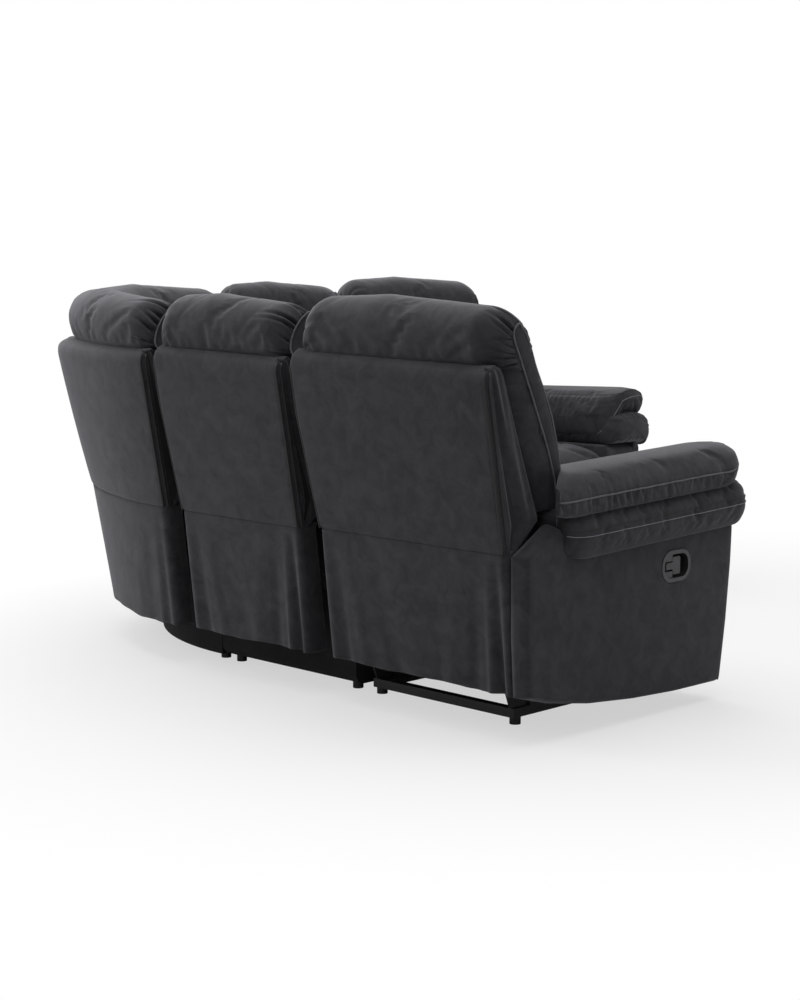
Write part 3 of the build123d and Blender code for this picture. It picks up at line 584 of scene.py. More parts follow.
head_corners = [
    (-22, 876), (-74, 882), (-97, 920), (-97, 970), (-72, 1012), (-26, 1031), (18, 1018), (50, 984),
    (58, 944), (44, 894),
]
head_end_corners = [
    (14, 872), (4, 885), (-7, 925), (-16, 948), (-13, 966), (0, 977), (15, 971), (27, 955), (41, 925),
    (46, 886),
]
inner_end_corners = [
    (-10, 876), (-46, 880), (-62, 900), (-55, 918), (-45, 936), (-25, 957), (0, 970), (16, 966),
    (29, 950), (41, 925), (40, 888),
]
head_profile, head_end, inner_end = (
    smooth_ring(corners, 112) for corners in (head_corners, head_end_corners, inner_end_corners)
)


def taller(line, column):
    """A ring or a line of a headrest's end with what lies above 890 mm stretched upwards."""
    line = np.array(line)
    line[:, column] += 0.28 * np.clip(line[:, column] - 890, 0, None)
    return line


tall_end = taller(inner_end, 1)
head_crest = np.array(
    [[0, 0.97], [0.2, 1.0], [0.4, 1.03], [0.55, 0.98], [0.7, 0.95], [0.9, 0.9], [1, 0.88]]
)
head_foot, head_girth, head_tuck = 888.0, 260, 66.0
crease_count, crease_depth = 9, 1.3


def seam_reach(grid):
    """Mean length along the rows from each row to the low and to the high end ring, six rows inside."""
    steps = np.linalg.norm(np.diff(grid, axis=0), axis=-1).mean(1)
    run = np.concatenate([[0], np.cumsum(steps)])
    reaches = np.clip([run - run[6], run[-7] - run], 0, None)
    return [np.broadcast_to(reach[:, None], grid.shape[:2]) for reach in reaches]


def headrest(low, high, ring, drop, seed):
    """Pillow roll between two x: crest height varies along it, ends gathered, surface lightly creased."""
    low_end, high_end = (low + head_tuck, low, inner_end, 5), (high - head_tuck, high, ring, 1)
    grid, poles = pillow(head_profile, low_end, high_end, int((high - low) / 22))

    def crested(places):
        share = np.clip((places[..., 0] - low) / (high - low), 0, 1)
        rise = (places[..., 2] - head_foot) * np.interp(share, *head_crest.T)
        return np.concatenate([places[..., :2], (head_foot + rise - drop)[..., None]], -1)

    grid, poles = crested(grid), crested(poles)
    grid = filled(grid, poles, grid[..., 2] < head_foot - drop + 8, cap=7)
    x = grid[..., 0]
    around = np.broadcast_to(np.linspace(0, head_girth, grid.shape[1], endpoint=False), x.shape)
    from_low, from_high = seam_reach(grid)
    pleats = gathers(around, from_high, head_girth, spacing=14, length=56, depth=13, seed=seed)
    pleats *= np.clip(from_high / 5, 0, 1)
    low_pleats = gathers(around, from_low, head_girth, spacing=21, length=60, depth=6, seed=seed + 1)
    pleats += low_pleats * np.clip(from_low / 5, 0, 1)
    draw = np.random.default_rng(seed + 2)
    limits = (low + 70, high - 70), (0, head_girth), (0.5, 1.6)
    for place, start, slant in zip(*[draw.uniform(*limit, crease_count) for limit in limits]):
        off = x - place - slant * (around - start)
        along = np.exp(-(((around - start) / 34) ** 2))
        pleats -= crease_depth * np.exp(-((off / 9) ** 2)) * along
    return pillow_shell(lifted(grid, pleats), poles)


corner_mirror = 2 * (corner_x - corner_side * math.pi / 4)


def far_half(shell):
    """The corner's other half: the near one reflected in the corner's middle plane."""
    points, faces = shell
    return np.stack([corner_mirror - points[:, 0], points[:, 1], points[:, 2]], -1), faces


corner_low, corner_sink = -1914.3, 30
headrests = {
    "": (-636, 1, head_end, 0, 11),
    "middle_": (-1194, -704, tall_end, middle_drop, 21),
    "corner_": (corner_low, -1246, tall_end, middle_drop, 31),
}
for module, sizes in headrests.items():
    shell, name = headrest(*sizes), "headrest_pillow"
    if module == "corner_":
        shell[0][:, 1] += corner_sink * np.sin(2 * (corner_x - shell[0][:, 0]) / corner_side) ** 6
        shell, name = joined(shell, far_half(shell)), "headrest_pillows"
    on_module(module, name, shell, nodes=["headrest"], fill=0.75)

# Back cushions: a chest pad over a lumbar pad in one cover, fibre over foam, sewn to the frame behind
# and pulled in along the seam between them. Both end in the same narrow side gusset as the headrest.
chest_corners = [
    (-2, 892), (-40, 884), (-17, 800), (14, 712), (40, 660), (92, 650), (144, 660), (144, 706), (122, 768),
    (92, 832), (60, 876),
]
lumbar_head = [(104, 653), (48, 645), (68, 588), (89, 530)]
lumbar_crest = [(223, 548), (200, 604), (160, 648)]
lumbar_corners = lumbar_head + [(104, 470), (150, 454), (202, 462), (225, 500)] + lumbar_crest
fixed_lumbar_corners = [
    *lumbar_head, (102, 450), (114, 392), (156, 382), (188, 394), (196, 440), (222, 490), *lumbar_crest
]
piping_line = np.array(
    [[456, 165], [563, 145], [610, 137], [707, 100], [825, 46], [895, 11], [929, -7], [956, -17]], float
)
pad_girth, hang_width, hang_edge = 420, 152, 24
hang_top, hang_fade, hang_lean = 716, 60, ([40, 144], [0.36, 0.05])


def gusset_ring(profile):
    """End ring of a pad: each point of the profile drawn in y into the gusset between the rear piping line
    and the profile's own front."""
    y, z = profile.T
    levels = np.linspace(z.min() + 2, z.max() - 2, 24)
    near = np.abs(z[None] - levels[:, None]) < 9
    front = np.array([y[row].max() for row in near])
    rear = np.array([y[row].min() for row in near])
    front, rear = np.interp(z, levels, front), np.interp(z, levels, rear)
    line = np.minimum(np.interp(z, *piping_line.T), front - 16)
    share = np.clip((y - rear) / np.maximum(front - rear, 1), 0, 1)
    inset = 0.94 * (z - z.mean()) + z.mean()
    return np.stack([line + share * (front - 5 - line), inset], -1)


def back_pad(corners, low, high, drop, seed, hang=0):
    """Pad between two x with gathered ends and a few soft creases that run along the seams. Its end beside
    the arm hangs lower by hang, and leans forward as the back does."""
    profile = smooth_ring(corners, 56)
    ring = gusset_ring(profile)
    rows = max(10, int((high - low) / 26))
    grid, poles = pillow(profile, (low + 40, low, ring, 2), (high - 40, high, ring, 2), rows)
    grid, poles = grid - [0, 0, drop], poles - [0, 0, drop]
    grid = filled(grid, poles, profile[:, 0] < profile[:, 0].mean() - 8, cap=14)
    x, y, z = np.moveaxis(grid, -1, 0)
    beside_arm = np.clip((x - high + hang_width) / hang_edge, 0, 1)
    down = hang * beside_arm * np.clip((hang_top - z) / hang_fade, 0, 1)
    grid = np.stack([x, y + down * np.interp(y, *hang_lean), z - down], -1)
    poles = poles - [[0, 0, 0], [0, 0, hang / 2]]
    around = np.broadcast_to(np.linspace(0, pad_girth, grid.shape[1], endpoint=False), x.shape)
    from_high, from_low = np.clip(high - x, 0, None), np.clip(x - low, 0, None)
    pleats = gathers(around, from_high, pad_girth, spacing=34, length=60, depth=4, seed=seed)
    pleats += gathers(around, from_low, pad_girth, spacing=34, length=60, depth=4, seed=seed + 1)
    pleats[:6], pleats[-6:] = 0, 0
    return pillow_shell(lifted(grid, pleats), poles)


back_pads = {
    "": [(chest_corners, -644, -2, 0, 41, 110), (lumbar_corners, -642, -140, 0, 45)],
    "middle_": [
        (chest_corners, -1190, -676, middle_drop, 51),
        (fixed_lumbar_corners, -1188, -678, middle_drop, 55),
    ],
    "corner_": [
        (chest_corners, corner_low, -1226, middle_drop, 61),
        (fixed_lumbar_corners, -1910, -1232, middle_drop, 65),
    ],
}
for module, rows in back_pads.items():
    shells = [back_pad(*row) for row in rows]
    if module == "corner_":
        shells += [far_half(shell) for shell in shells]
    on_module(module, "back_pads", joined(*shells), nodes=["back_cushion"], fill=0.7)

# Gussets and piping: a narrow side strip closes the headrest and chest pad together at each end, and a
# round cord in paler grey cloth is sewn into its seam all the way round.
piping_cloth = surface_finish(
    "grey_piping_cloth", "#606165", "#727377", 14, 1.2, 0.3, {"Roughness": 0.8, "Specular IOR Level": 0.3}
)
piping_radius, gusset_width, step_foot, step_height = 2.3, 45, 840, 90
outer_lines = (
    np.array(
        [[548, 146], [612, 134], [660, 118], [707, 100], [825, 46], [895, 11], [929, -7], [950, -15],
         [966, -13], [978, 0]], float
    ),
    np.array(
        [[548, 152], [580, 156], [612, 154], [660, 149], [707, 137], [768, 118], [832, 88], [880, 62],
         [915, 46], [950, 29], [968, 15], [978, 4]], float
    ),
)
inner_lines = (
    np.array(
        [[612, 134], [660, 118], [707, 100], [800, 56], [845, 15], [868, -28], [882, -52], [897, -62],
         [915, -56], [934, -46], [955, -26], [968, -4], [972, 4]], float
    ),
    np.array(
        [[612, 150], [660, 149], [707, 137], [768, 118], [832, 88], [880, 62], [915, 46], [950, 29],
         [966, 15], [972, 8]], float
    ),
)
tall_lines = [taller(line, 0) for line in inner_lines]


def gusset_x(z, low, high):
    """Sideways place of the gusset: it follows the pad below and steps over to the headrest's end above."""
    share = np.clip((z - step_foot) / step_height, 0, 1)
    return low + (high - low) * share * share * (3 - 2 * share)


def gusset(low, high, outward, drop, foot, rear_line, front_line):
    """Crowned strip between the two gusset lines, from a foot height to the top of the headrest's end."""
    head = rear_line[-1, 0]

    def place(a, b):
        z = foot + (head - foot) * b
        rear, front = np.interp(z, *rear_line.T), np.interp(z, *front_line.T)
        return np.stack([gusset_x(z, low, high) - 5 * outward, rear + (front - rear) * a, z - drop], -1)

    size = gusset_width, head - foot
    return slab(place, (outward, 0, 0), size, thickness=6, edge=8, crown=3, count=(10, 50), power=2.0)


def gusset_piping(low, high, outward, drop, foot, rear_line, front_line):
    """Cord up the rear line, over the top and down the front line of a gusset."""
    line = np.vstack([rear_line, front_line[::-1]])[:, ::-1]
    line = smooth_ring(line, 400)[:396]
    line = evenly(line[line[:, 1] > foot], 150, False)
    x = gusset_x(line[:, 1], low, high) + outward
    return tube(np.stack([x, line[:, 0], line[:, 1] - drop], -1), piping_radius, (1.0, 0, 0))


ends = {
    "": [(0, 3, 1, 0, 548, *outer_lines), (-646, -638, -1, 0, 612, *inner_lines)],
    "middle_": [
        (-674, -702, 1, middle_drop, 612, *tall_lines),
        (-1192, -1196, -1, middle_drop, 612, *inner_lines),
    ],
    "corner_": [
        (-1225, -1244, 1, middle_drop, 612, *tall_lines),
        (corner_mirror + 1225, corner_mirror + 1244, -1, middle_drop, 612, *tall_lines),
    ],
}
for module, sides in ends.items():
    on_module(module, "gussets", joined(*[gusset(*side) for side in sides]), fill=0.9)
    cords = joined(*[gusset_piping(*side) for side in sides])
    on_module(module, "gusset_piping", cords, material=piping_cloth)

# Seat cushions: foam blocks under a fibre layer, with a rounded front that rolls over the edge and one
# seam across the top where the front panel is sewn on. They lie on the seat frame or the box base.
seat_profile = smooth_ring(
    [
        (480, 298), (300, 298), (212, 302), (199, 340), (199, 400), (210, 438), (270, 448), (450, 450),
        (600, 449), (700, 443), (758, 424), (785, 386), (788, 345), (774, 312), (730, 298),
    ],
    88,
)
seat_middle = np.array([495.0, 372.0])
seat_end = (seat_profile - seat_middle) * [0.965, 0.8] + seat_middle
seat_seam, seat_rear, seat_front, seat_round, seat_hold = 622.0, 196, 790, 26, 302


def seat_cushion(low, high, seed):
    """Seat pad between two x: flat ends with rounded borders, a grooved cross seam and slight dimples."""
    low_end, high_end = (low + seat_round, low, seat_end, 1), (high - seat_round, high, seat_end, 1)
    grid, poles = pillow(seat_profile, low_end, high_end, 22)
    grid = filled(grid, poles, grid[..., 2] < seat_hold, cap=13)
    x, y, z = np.moveaxis(grid, -1, 0)
    top = np.clip((z - 380) / 40, 0, 1)
    beside = np.abs(y - seat_seam)
    groove = -4.5 * np.exp(-((beside / 5) ** 2)) * top
    pucker = gathers(x - low, beside, high - low, spacing=38, length=40, depth=1.8, seed=seed) * top
    return pillow_shell(lifted(grid, groove + pucker), poles)


def chord_front(shell):
    """Corner seat: y stretched forward at each turn, so that the front edge is a straight chord between the
    two neighbouring seats' fronts instead of an arc."""
    points, faces = shell
    turn = np.clip((corner_x - points[:, 0]) / corner_side, 0, np.pi / 2)
    front = corner_side - (corner_side - seat_front) / (np.cos(turn) + np.sin(turn))
    y = seat_rear + (points[:, 1] - seat_rear) * (front - seat_rear) / (seat_front - seat_rear)
    return np.stack([points[:, 0], y, points[:, 2]], -1), faces


seats = {
    "": (-655, -139.5, 71),
    "middle_": (-1201, -665, 72),
    "corner_": (corner_x - quarter + 6, corner_x - 6, 73),
}
for module, sizes in seats.items():
    shell = seat_cushion(*sizes)
    shell = chord_front(shell) if module == "corner_" else shell
    on_module(module, "seat_pad", shell, "seat", ["seat_cushion"], fill=0.85)

# Front aprons: padded boards that close the front of the fixed seats below the cushions, upholstered in
# the same cloth and screwed to the box bases from behind.
apron_y, apron_foot, apron_height = 752.5, 44, 250


def front_apron(low, high):
    """Upright slab in front of a box base between two x."""

    def place(a, b):
        return np.stack([low + (high - low) * a, apron_y + 0 * a, apron_foot + apron_height * b], -1)

    size = high - low, apron_height
    return slab(place, (0, 1, 0), size, thickness=14, edge=12, crown=5, count=(26, 18))


on_both_legs("front_apron", front_apron(-1200, -666), fill=0.9)
corner_apron = front_apron(corner_x - quarter + 9, corner_x - 9)
piece("corner_front_apron", chord_front(corner_apron), fill=0.9)

# Footrests: a padded board in front of each reclining seat, its cover pulled round the board and stapled
# behind. It hangs upright under the seat and swings out on its links.
foot_profile = smooth_ring(
    [
        (705, 160), (705, 90), (709, 69), (722, 65), (740, 74), (750, 105), (754, 158), (750, 212),
        (740, 242), (722, 251), (709, 247), (705, 226),
    ],
    48,
)
foot_middle = np.array([726.0, 158.0])
foot_end = (foot_profile - foot_middle) * [0.72, 0.93] + foot_middle
grid, poles = pillow(foot_profile, (-628, -651, foot_end, 1), (-165, -142, foot_end, 1), 20)
grid = filled(grid, poles, grid[..., 1] < 712, cap=6)
on_both_legs("footrest_cover", pillow_shell(grid, poles), "footrest", ["footrest_pad"], fill=0.85)

# Lining strips: black lining cloth stapled across two open places, under the front rail of each reclining
# seat between its links, and behind it in the slot beside the fixed seat's box.
lining_places = {
    "seat_valance": ("seat", "seat_frame", (-552, -206), 690, (234, 294)),
    "dust_strip": ("root", "middle_box_base", (-668, -598), 73, (110, 450)),
}
for name, (body, carrier, (low, high), y, (foot, head)) in lining_places.items():
    a, b = np.meshgrid(np.linspace(0, 1, 20), np.linspace(0, 1, 20), indexing="ij")
    slack = 1.5 * np.sin(9 * a + 4 * b) * np.sin(np.pi * b)
    grid = np.stack([low + (high - low) * a, y + slack, foot + (head - foot) * b], -1)
    strips = on_both_legs(name, cloth_shell(grid, 2), body, material=lining_cloth, slot="box_base")

# Arm boxes: timber boxes beside the reclining seats, covered all round in the cloth, with a padded outer
# panel whose hem sweeps up towards the back and which dips in round the handle cup.
arm_outline = np.array(
    [
        (14, 127), (6, 250), (8, 432), (40, 470), (120, 452), (772, 458), (766, 330), (750, 190), (728, 49),
        (560, 50), (400, 58), (235, 74), (96, 98),
    ],
    float,
)
box_ring = evenly(arm_outline, 120, True)
box_middle = box_ring.mean(0)
box_end = (box_ring - box_middle) * [0.985, 0.965] + box_middle
grid, poles = pillow(box_ring, (-127, -134.5, box_end, 0.5), (-4, 4, box_end, 0.5), 8)
on_both_legs("arm_box_cover", pillow_shell(grid, poles), nodes=["arm_frame"], fill=0.95)

hem_line = np.array([(-4, 119), (94, 91), (233, 67), (402, 51), (559, 43), (741, 41)], float)
rear_line = np.array([(119, -9), (261, -18), (446, -20), (519, 40)], float)
front_line = np.array([(41, 741), (200, 765), (353, 781), (461, 786), (520, 788)], float)
top_line = np.array([(-20, 448), (40, 515), (90, 500), (786, 500)], float)
arm_start, arm_size = (-14, 46), (800, 440)
arm_base, arm_depth, arm_crown, arm_ripple = 4.5, 44, 5, 2.0
cup_lip, cup_dish, cup_floor = 46, 5, 2.0
face_low, face_foot, face_size, face_setback = -131, 50, (178, 400), 12
handle_y, handle_z = 538.0, 369.0
cup_half, cup_corner = np.array([57.0, 39.5]), 36.0


def cup_inside(y, z, inset):
    """Distance inside the handle cup's rounded oblong, drawn in by inset: negative within it."""
    off = np.abs(np.stack([y - handle_y, z - handle_z], -1)) - (cup_half - cup_corner)
    return np.linalg.norm(np.maximum(off, 0), axis=-1) + np.minimum(off.max(-1), 0) - (cup_corner - inset)


def arm_panel():
    """Outer arm panel between its hem, rear and front lines, sunk to the base where the cup goes in."""
    a_rim, b_rim = 0.02, 0.04
    a = np.union1d(spread(60, a_rim), (handle_y - arm_start[0] + np.arange(-62, 63, 4)) / arm_size[0])
    b = np.union1d(spread(40, b_rim), (handle_z - arm_start[1] + np.arange(-44, 45, 4)) / arm_size[1])
    a, b = np.meshgrid(a, b, indexing="ij")
    foot, head = (
        np.interp(line[0, 0] + np.ptp(line[:, 0]) * a, *line.T) for line in (hem_line, top_line)
    )
    z = foot + (head - foot) * b
    y = np.interp(z, *rear_line.T) * (1 - a) + np.interp(z, *front_line.T) * a
    swell = np.sin(np.pi * a) ** 0.8 * np.sin(np.pi * b) ** 0.8
    rise = arm_depth * rim_rise(a, a_rim, 2.2) * rim_rise(b, b_rim, 2.2) + arm_crown * swell
    rise = rise + arm_ripple * np.sin(y / 38 + z / 60) * (1 - a) ** 3 * swell
    near = np.clip((cup_inside(y, z, 0) + 30) / 60, 0, 1)
    rise = np.where(np.abs(near - 0.5) < 0.5, np.minimum(rise, cup_lip + cup_dish * near), rise)
    rise = np.where(cup_inside(y, z, 4) < 0, cup_floor, rise)
    base = np.stack([arm_base + 0 * y, y, z], -1)
    return two_sided(base + rise[..., None] * [1.0, 0, 0], base)


def arm_front(a, b):
    """Plane of the arm's front face, leaning as the front line does."""
    z = face_foot + face_size[1] * b
    return np.stack([face_low + face_size[0] * a, np.interp(z, *front_line.T) - face_setback, z], -1)


on_both_legs("arm_side_cover", arm_panel(), nodes=["arm_side_panel"], fill=0.9)
arm_face = slab(arm_front, (0, 1, 0), face_size, thickness=11, edge=14, crown=4, count=(20, 30))
on_both_legs("arm_front_cover", arm_face, fill=0.9)

# Arm rolls: a stuffed roll along the top of each arm box, bulging past the outer panel, with a row of black
# and a row of pale stitches along its fullest line and a short apron below.
contrast_thread = surface_finish(
    "pale_grey_thread", "#67686c", "#7c7d81", 9, 1.5, 0.3, {"Roughness": 0.6}
)
roll_start, roll_tip, roll_length, roll_pitch, fullest = 112, 820, 720, 5.2, (78, 48)
arm_girth, stitch_radius = 260, 1.1


def arm_line(y):
    """Height of the line along which the roll lies on the arm, rising towards the front."""
    return 440 + 24 * (y - 122) / 696


def along_arm(grid):
    """Pillow coordinates (y, x, height above the arm line) to places."""
    y, x, h = np.moveaxis(grid, -1, 0)
    return np.stack([x, y, h + arm_line(y)], -1)


def finer_ring(ring):
    """A closed ring with the points that finer puts between its own."""
    flat = np.concatenate([ring, ring[:, :1]], 1)
    return finer(np.broadcast_to(flat, (4, *flat.shape)))[0][:, :2]


def nearest_column(ring, point):
    """Number of the ring's point that lies nearest to a point."""
    return int(np.argmin(np.linalg.norm(ring - point, axis=1)))


def columns_past(seam, shape):
    """How many columns each point of a closed grid lies past a seam's column, the shorter way round."""
    turn = (np.arange(shape[1]) - seam + shape[1] / 2) % shape[1] - shape[1] / 2
    return np.broadcast_to(turn, shape)


roll_profile = smooth_ring(
    [
        (-60, 0), (-112, 2), (-124, 26), (-124, 70), (-114, 100), (-50, 108), (20, 106), (58, 90), (77, 58),
        (78, 26), (66, -6), (54, -15), (42, -4),
    ],
    88,
)
roll_rear = (roll_profile - [50, 56]) * [0.12, 0.55] + [46, 58]
roll_front = (roll_profile - [-30, 52]) * [0.66, 0.6] + [-30, 54]
grid, poles = pillow(roll_profile, (196, roll_start, roll_rear, 2), (762, roll_tip, roll_front, 8), 56)
grid, poles = along_arm(grid), along_arm(poles)
grid = filled(grid, poles, (roll_profile[:, 1] < 4) | (roll_profile[:, 1] > 100), cap=4)
y, columns = grid[..., 1], grid.shape[1]
stitch = nearest_column(finer_ring(roll_profile), fullest)
turn = columns_past(stitch, y.shape)
away = np.abs(turn) * roll_pitch / 2
beside, to_tip = np.abs(away - 6), np.clip(816 - y, 0, None)
relief = gathers(y - roll_start, beside, roll_length, spacing=24, length=26, depth=0.8, seed=81)
relief *= np.exp(-((away / 45) ** 2))
relief -= 2.2 * np.exp(-((away / 4) ** 2))
around = away * np.sign(turn) + arm_girth / 2
relief += gathers(around, to_tip, arm_girth, spacing=26, length=50, depth=2.5, seed=83)
relief[:7], relief[-7:] = 0, 0
grid = lifted(grid, relief)
on_both_legs("arm_roll_pad", pillow_shell(grid, poles), nodes=["arm_roll"], fill=0.7)
for beside, name, thread in ((-3, "arm_roll_seam", thread_and_groove_shade), (2, "arm_roll_stitches", contrast_thread)):
    line = evenly(grid[8:-8, (stitch + beside) % columns], 220, False)
    for _ in range(8):
        line[1:-1] = (line[:-2] + 2 * line[1:-1] + line[2:]) / 4
    on_both_legs(name, tube(line + [0.9, 0, 0], stitch_radius, (0.0, 0, 1)), material=thread)

# Arm pads: a soft fibre-filled pad sewn on top of each roll, its lower panel gathered under a piping that
# runs along both sides and round the front end.
pad_profile = smooth_ring(
    [
        (-30, 96), (-92, 88), (-114, 50), (-127, 32), (-136, 52), (-138, 100), (-133, 146), (-112, 172),
        (-40, 187), (24, 183), (64, 164), (81, 136), (80, 112), (70, 92), (40, 88),
    ],
    112,
)
pad_start, pad_tip, pad_length, pad_pitch = 62, 800, 760, 3
pad_rear = (pad_profile - [-30, 120]) * [0.05, 0.5] + [74, 130]
pad_nose = (pad_profile - [-30, 110]) * [0.45, 0.36] + [-30, 158]
grid, poles = pillow(pad_profile, (150, pad_start, pad_rear, 1), (716, pad_tip, pad_nose, 10), 62)
grid, poles = along_arm(grid), along_arm(poles)
grid = filled(grid, poles, pad_profile[:, 1] < 100, cap=7)
y, columns = grid[..., 1], grid.shape[1]
aside = np.clip(np.interp(y, [pad_start, 150, 214], [68, 6, -145]) - grid[..., 0], 0, None)
low = np.clip(arm_line(y) + 92 - grid[..., 2], 0, None)
grid = grid + np.stack([aside, 0 * y, low * np.clip(aside / 30, 0, 1)], -1)
ring = finer_ring(pad_profile)
outer, inner = nearest_column(ring, (81, 130)), nearest_column(ring, (-130, 34))
relief = np.zeros(y.shape)
for seam, seed in ((outer, 91), (nearest_column(ring, (-118, 166)), 92)):
    turn = columns_past(seam, y.shape)
    away = np.abs(turn) * pad_pitch
    below = turn > 0 if seam == outer else turn < 0
    fading = np.interp(y, [300, 720], [1.0, 0.4]) * np.where(below, 1.0, 0.25)
    relief += gathers(y - pad_start, away, pad_length, spacing=21, length=36, depth=7, seed=seed) * fading
    relief -= 1.5 * np.exp(-((away / 3.5) ** 2))
around = np.broadcast_to(np.arange(columns) * arm_girth / columns, y.shape)
to_tip = np.clip(pad_tip - y, 0, None)
relief += gathers(around, to_tip, arm_girth, spacing=20, length=46, depth=3.5, seed=93)
relief[:7], relief[-7:] = 0, 0
grid = lifted(grid, relief)
on_both_legs("arm_top_pad", pillow_shell(grid, poles), nodes=["arm_pad"], fill=0.7)
ahead = np.flatnonzero(y[:, 0] > 730)[::-1]
across = nearest_column(ring, (-138, 100))
sinking = np.linspace(across, inner, len(ahead)).astype(int)
path = np.concatenate([grid[7:, outer], poles[1:], grid[ahead, sinking]])
cord = tube(evenly(path, 420, False), piping_radius, (0.02, 0.03, 1.0))
on_both_legs("arm_pad_piping", cord, material=piping_cloth)

# Release handles: a cup of textured dark grey plastic let into each outer arm panel, with a face plate over
# its rear half and a tee-shaped paddle of the same plastic that hinges in it on a pin.
handle_plastic = surface_finish(
    "dark_grey_handle_plastic", "#3e3f41", "#494a4c", 20, 0.9, 0.08, {"Roughness": 0.45, "IOR": 1.5}
)
# The cup's faces deeper than bowl_x are made near black: painted shade in the hollow of the bowl.
bowl_shade = surface_finish(
    "black_bowl_plastic", "#0b0b0c", "#101011", 20, 0.9, 0.08, {"Roughness": 0.6, "IOR": 1.5}
)
dress(handle_plastic, "handle_cup", "release_lever")
# Faces of each cup that lie deeper than bowl_x take the painted bowl shade.
bowl_x = 49
for axis, leg in enumerate(legs):
    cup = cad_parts[f"{leg}_handle_cup"].data
    cup.materials.append(bowl_shade)
    depth = np.array([face.center[axis] for face in cup.polygons]) * 1000 - leg_origin[0]
    cup.polygons.foreach_set("material_index", (depth < bowl_x).astype(np.int32))


def plate(outline, low, high):
    """Flat plate with an outline of (y, z) about the handle's middle, between two x."""
    count = len(outline)
    sheets = [np.column_stack([np.full(count, x), outline + [handle_y, handle_z]]) for x in (low, high)]
    ring = np.arange(count)
    sides = np.stack([ring, np.roll(ring, -1), np.roll(ring, -1) + count, ring + count], -1).tolist()
    return np.concatenate(sheets), [ring.tolist(), (ring + count)[::-1].tolist()] + sides


def eased(outline):
    """A closed outline cut into short equal lengths, with its corners rounded by three neighbour averages."""
    line = evenly(np.asarray(outline, float), 120, True)
    for _ in range(3):
        line = (np.roll(line, 1, 0) + 2 * line + np.roll(line, -1, 0)) / 4
    return line


turn = np.linspace(np.pi / 2, 3 * np.pi / 2, 25)
round_end = np.stack([-21 + 26.5 * np.cos(turn), 4 * np.sign(np.sin(turn)) + 26.5 * np.sin(turn)], -1)
slot_rim = [[-11, -30.5], [-12, -12.5], [-43, -12.5], [-43, 12.5], [-12, 12.5]]
face = np.vstack([[-11, 30.5], round_end, slot_rim])
tee = [(-34, -8.5), (-8, -8.5), (-8, -22), (22, -22), (22, 22), (-8, 22), (-8, 8.5), (-34, 8.5)]
for shell, name, body, nodes in (
    (plate(face, 46, 50), "handle_face_plate", "root", ()),
    (plate(eased(tee), 36, 48), "handle_paddle", "lever", ("release_lever",)),
):
    for made in on_both_legs(name, shell, body, nodes, material=handle_plastic, slot="handle_plastic"):
        made.data.shade_flat()

# Camera: at the photograph's place, behind the right leg and a little above the backs, with the long lens
# that the lines of the backs ask for.
lens = bpy.data.cameras.new("camera")
lens.lens = 70.0
lens.sensor_width = 36.0
lens.clip_end = 100.0
camera = bpy.data.objects.new("camera", lens)
camera.location = (4.0037, -4.3257, 1.1556)
camera.rotation_euler = (math.radians(82.5), 0, math.radians(45))
scene.collection.objects.link(camera)
scene.camera = camera

# Studio: a white surround and a pale floor that fades into it around the sofa, with four soft lamps: two on
# the left of the camera, one overhead and a weaker one in front of the seats.
scene.view_settings.view_transform = "Standard"
studio = bpy.data.worlds.new("studio")
scene.world = studio
studio.use_nodes = True
sky = studio.node_tree
sky.nodes.clear()
white = (1, 1, 1, 1)
larger = {"operation": "MAXIMUM"}
rays = node(sky, "ShaderNodeLightPath")
mirrored = {0: (rays, "Is Glossy Ray"), 1: (rays, "Is Transmission Ray")}
glossy = node(sky, "ShaderNodeMath", larger, mirrored)
shown = node(sky, "ShaderNodeMath", larger, {0: (rays, "Is Camera Ray"), 1: (glossy, "Value")})
bright = node(sky, "ShaderNodeBackground", {"Color": white, "Strength": 1.0})
soft = node(sky, "ShaderNodeBackground", {"Color": white, "Strength": 0.12})
parts = {0: (shown, "Value"), 1: (soft, "Background"), 2: (bright, "Background")}
mixed = node(sky, "ShaderNodeMixShader", {}, parts)
node(sky, "ShaderNodeOutputWorld", {}, {"Surface": (mixed, "Shader")})

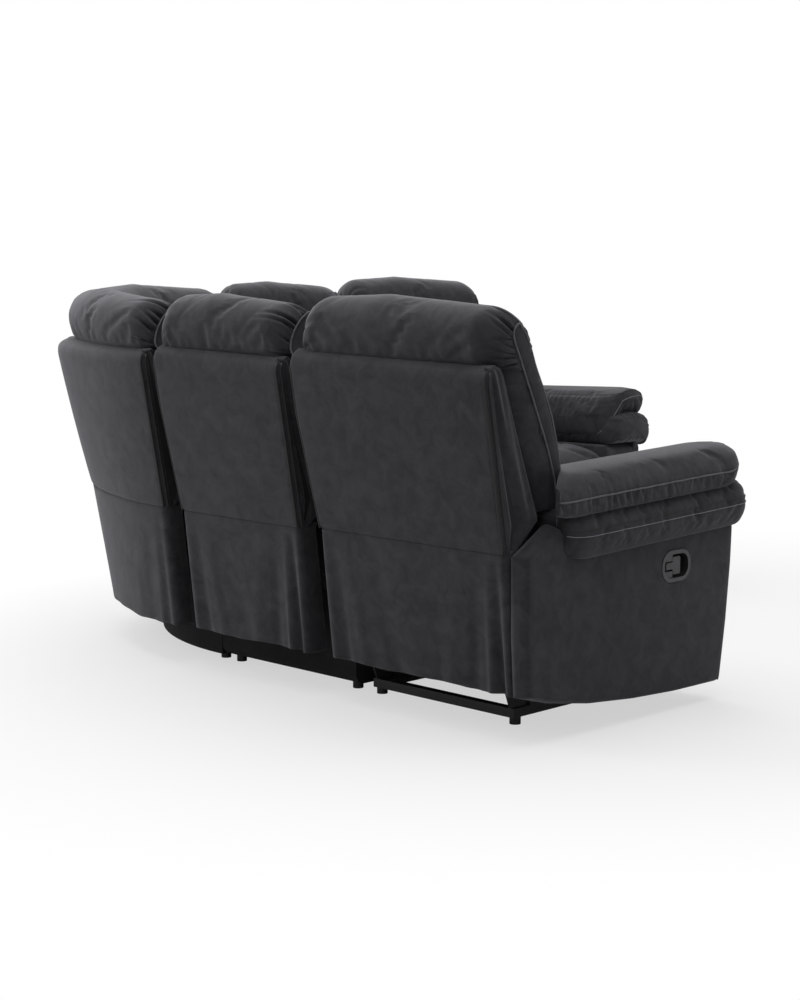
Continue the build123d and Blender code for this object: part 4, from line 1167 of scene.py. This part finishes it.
half = 30.0
floor_mesh = bpy.data.meshes.new("floor")
floor_corners = [(-half, -half, 0), (half, -half, 0), (half, half, 0), (-half, half, 0)]
floor_mesh.from_pydata(floor_corners, [], [(0, 1, 2, 3)])
floor_paint = bpy.data.materials.new("white_floor_paint")
floor_paint.use_nodes = True
tree = floor_paint.node_tree
tree.nodes.clear()
place = node(tree, "ShaderNodeTexCoord")
away = node(tree, "ShaderNodeVectorMath", {"operation": "LENGTH"}, {0: (place, "Object")})
range_m = {"interpolation_type": "SMOOTHSTEP", "From Min": 1.2, "From Max": 2.6, "To Min": 0.6}
fade = node(tree, "ShaderNodeMapRange", range_m, {"Value": (away, "Value")})
rays = node(tree, "ShaderNodeLightPath")
factors = {0: (fade, "Result"), 1: (rays, "Is Camera Ray")}
amount = node(tree, "ShaderNodeMath", {"operation": "MULTIPLY"}, factors)
paint = node(tree, "ShaderNodeBsdfDiffuse", {"Color": linear("#fafafa")})
light = node(tree, "ShaderNodeEmission", {"Color": white, "Strength": 1.0})
parts = {0: (amount, "Value"), 1: (paint, "BSDF"), 2: (light, "Emission")}
both = node(tree, "ShaderNodeMixShader", {}, parts)
node(tree, "ShaderNodeOutputMaterial", {}, {"Surface": (both, "Shader")})
floor_mesh.materials.append(floor_paint)
floor = bpy.data.objects.new("floor", floor_mesh)
scene.collection.objects.link(floor)

for name, place, aim, width, power in (
    ("key_lamp", (-4.5, -4.0, 3.6), (-0.4, -0.6, 0.6), 3.0, 120),
    ("side_lamp", (-4.2, 0.4, 3.4), (0, 0, 0.6), 3.0, 115),
    ("top_lamp", (1.0, -0.5, 4.5), (0, 0, 0.5), 4.0, 110),
    ("front_lamp", (-2.6, 2.6, 3.4), (0, 0, 0.6), 3.0, 70),
):
    lamp = bpy.data.lights.new(name, "AREA")
    lamp.size = width
    lamp.energy = power
    holder = bpy.data.objects.new(name, lamp)
    holder.location = place
    holder.rotation_euler = (Vector(aim) - Vector(place)).to_track_quat("-Z", "Y").to_euler()
    scene.collection.objects.link(holder)
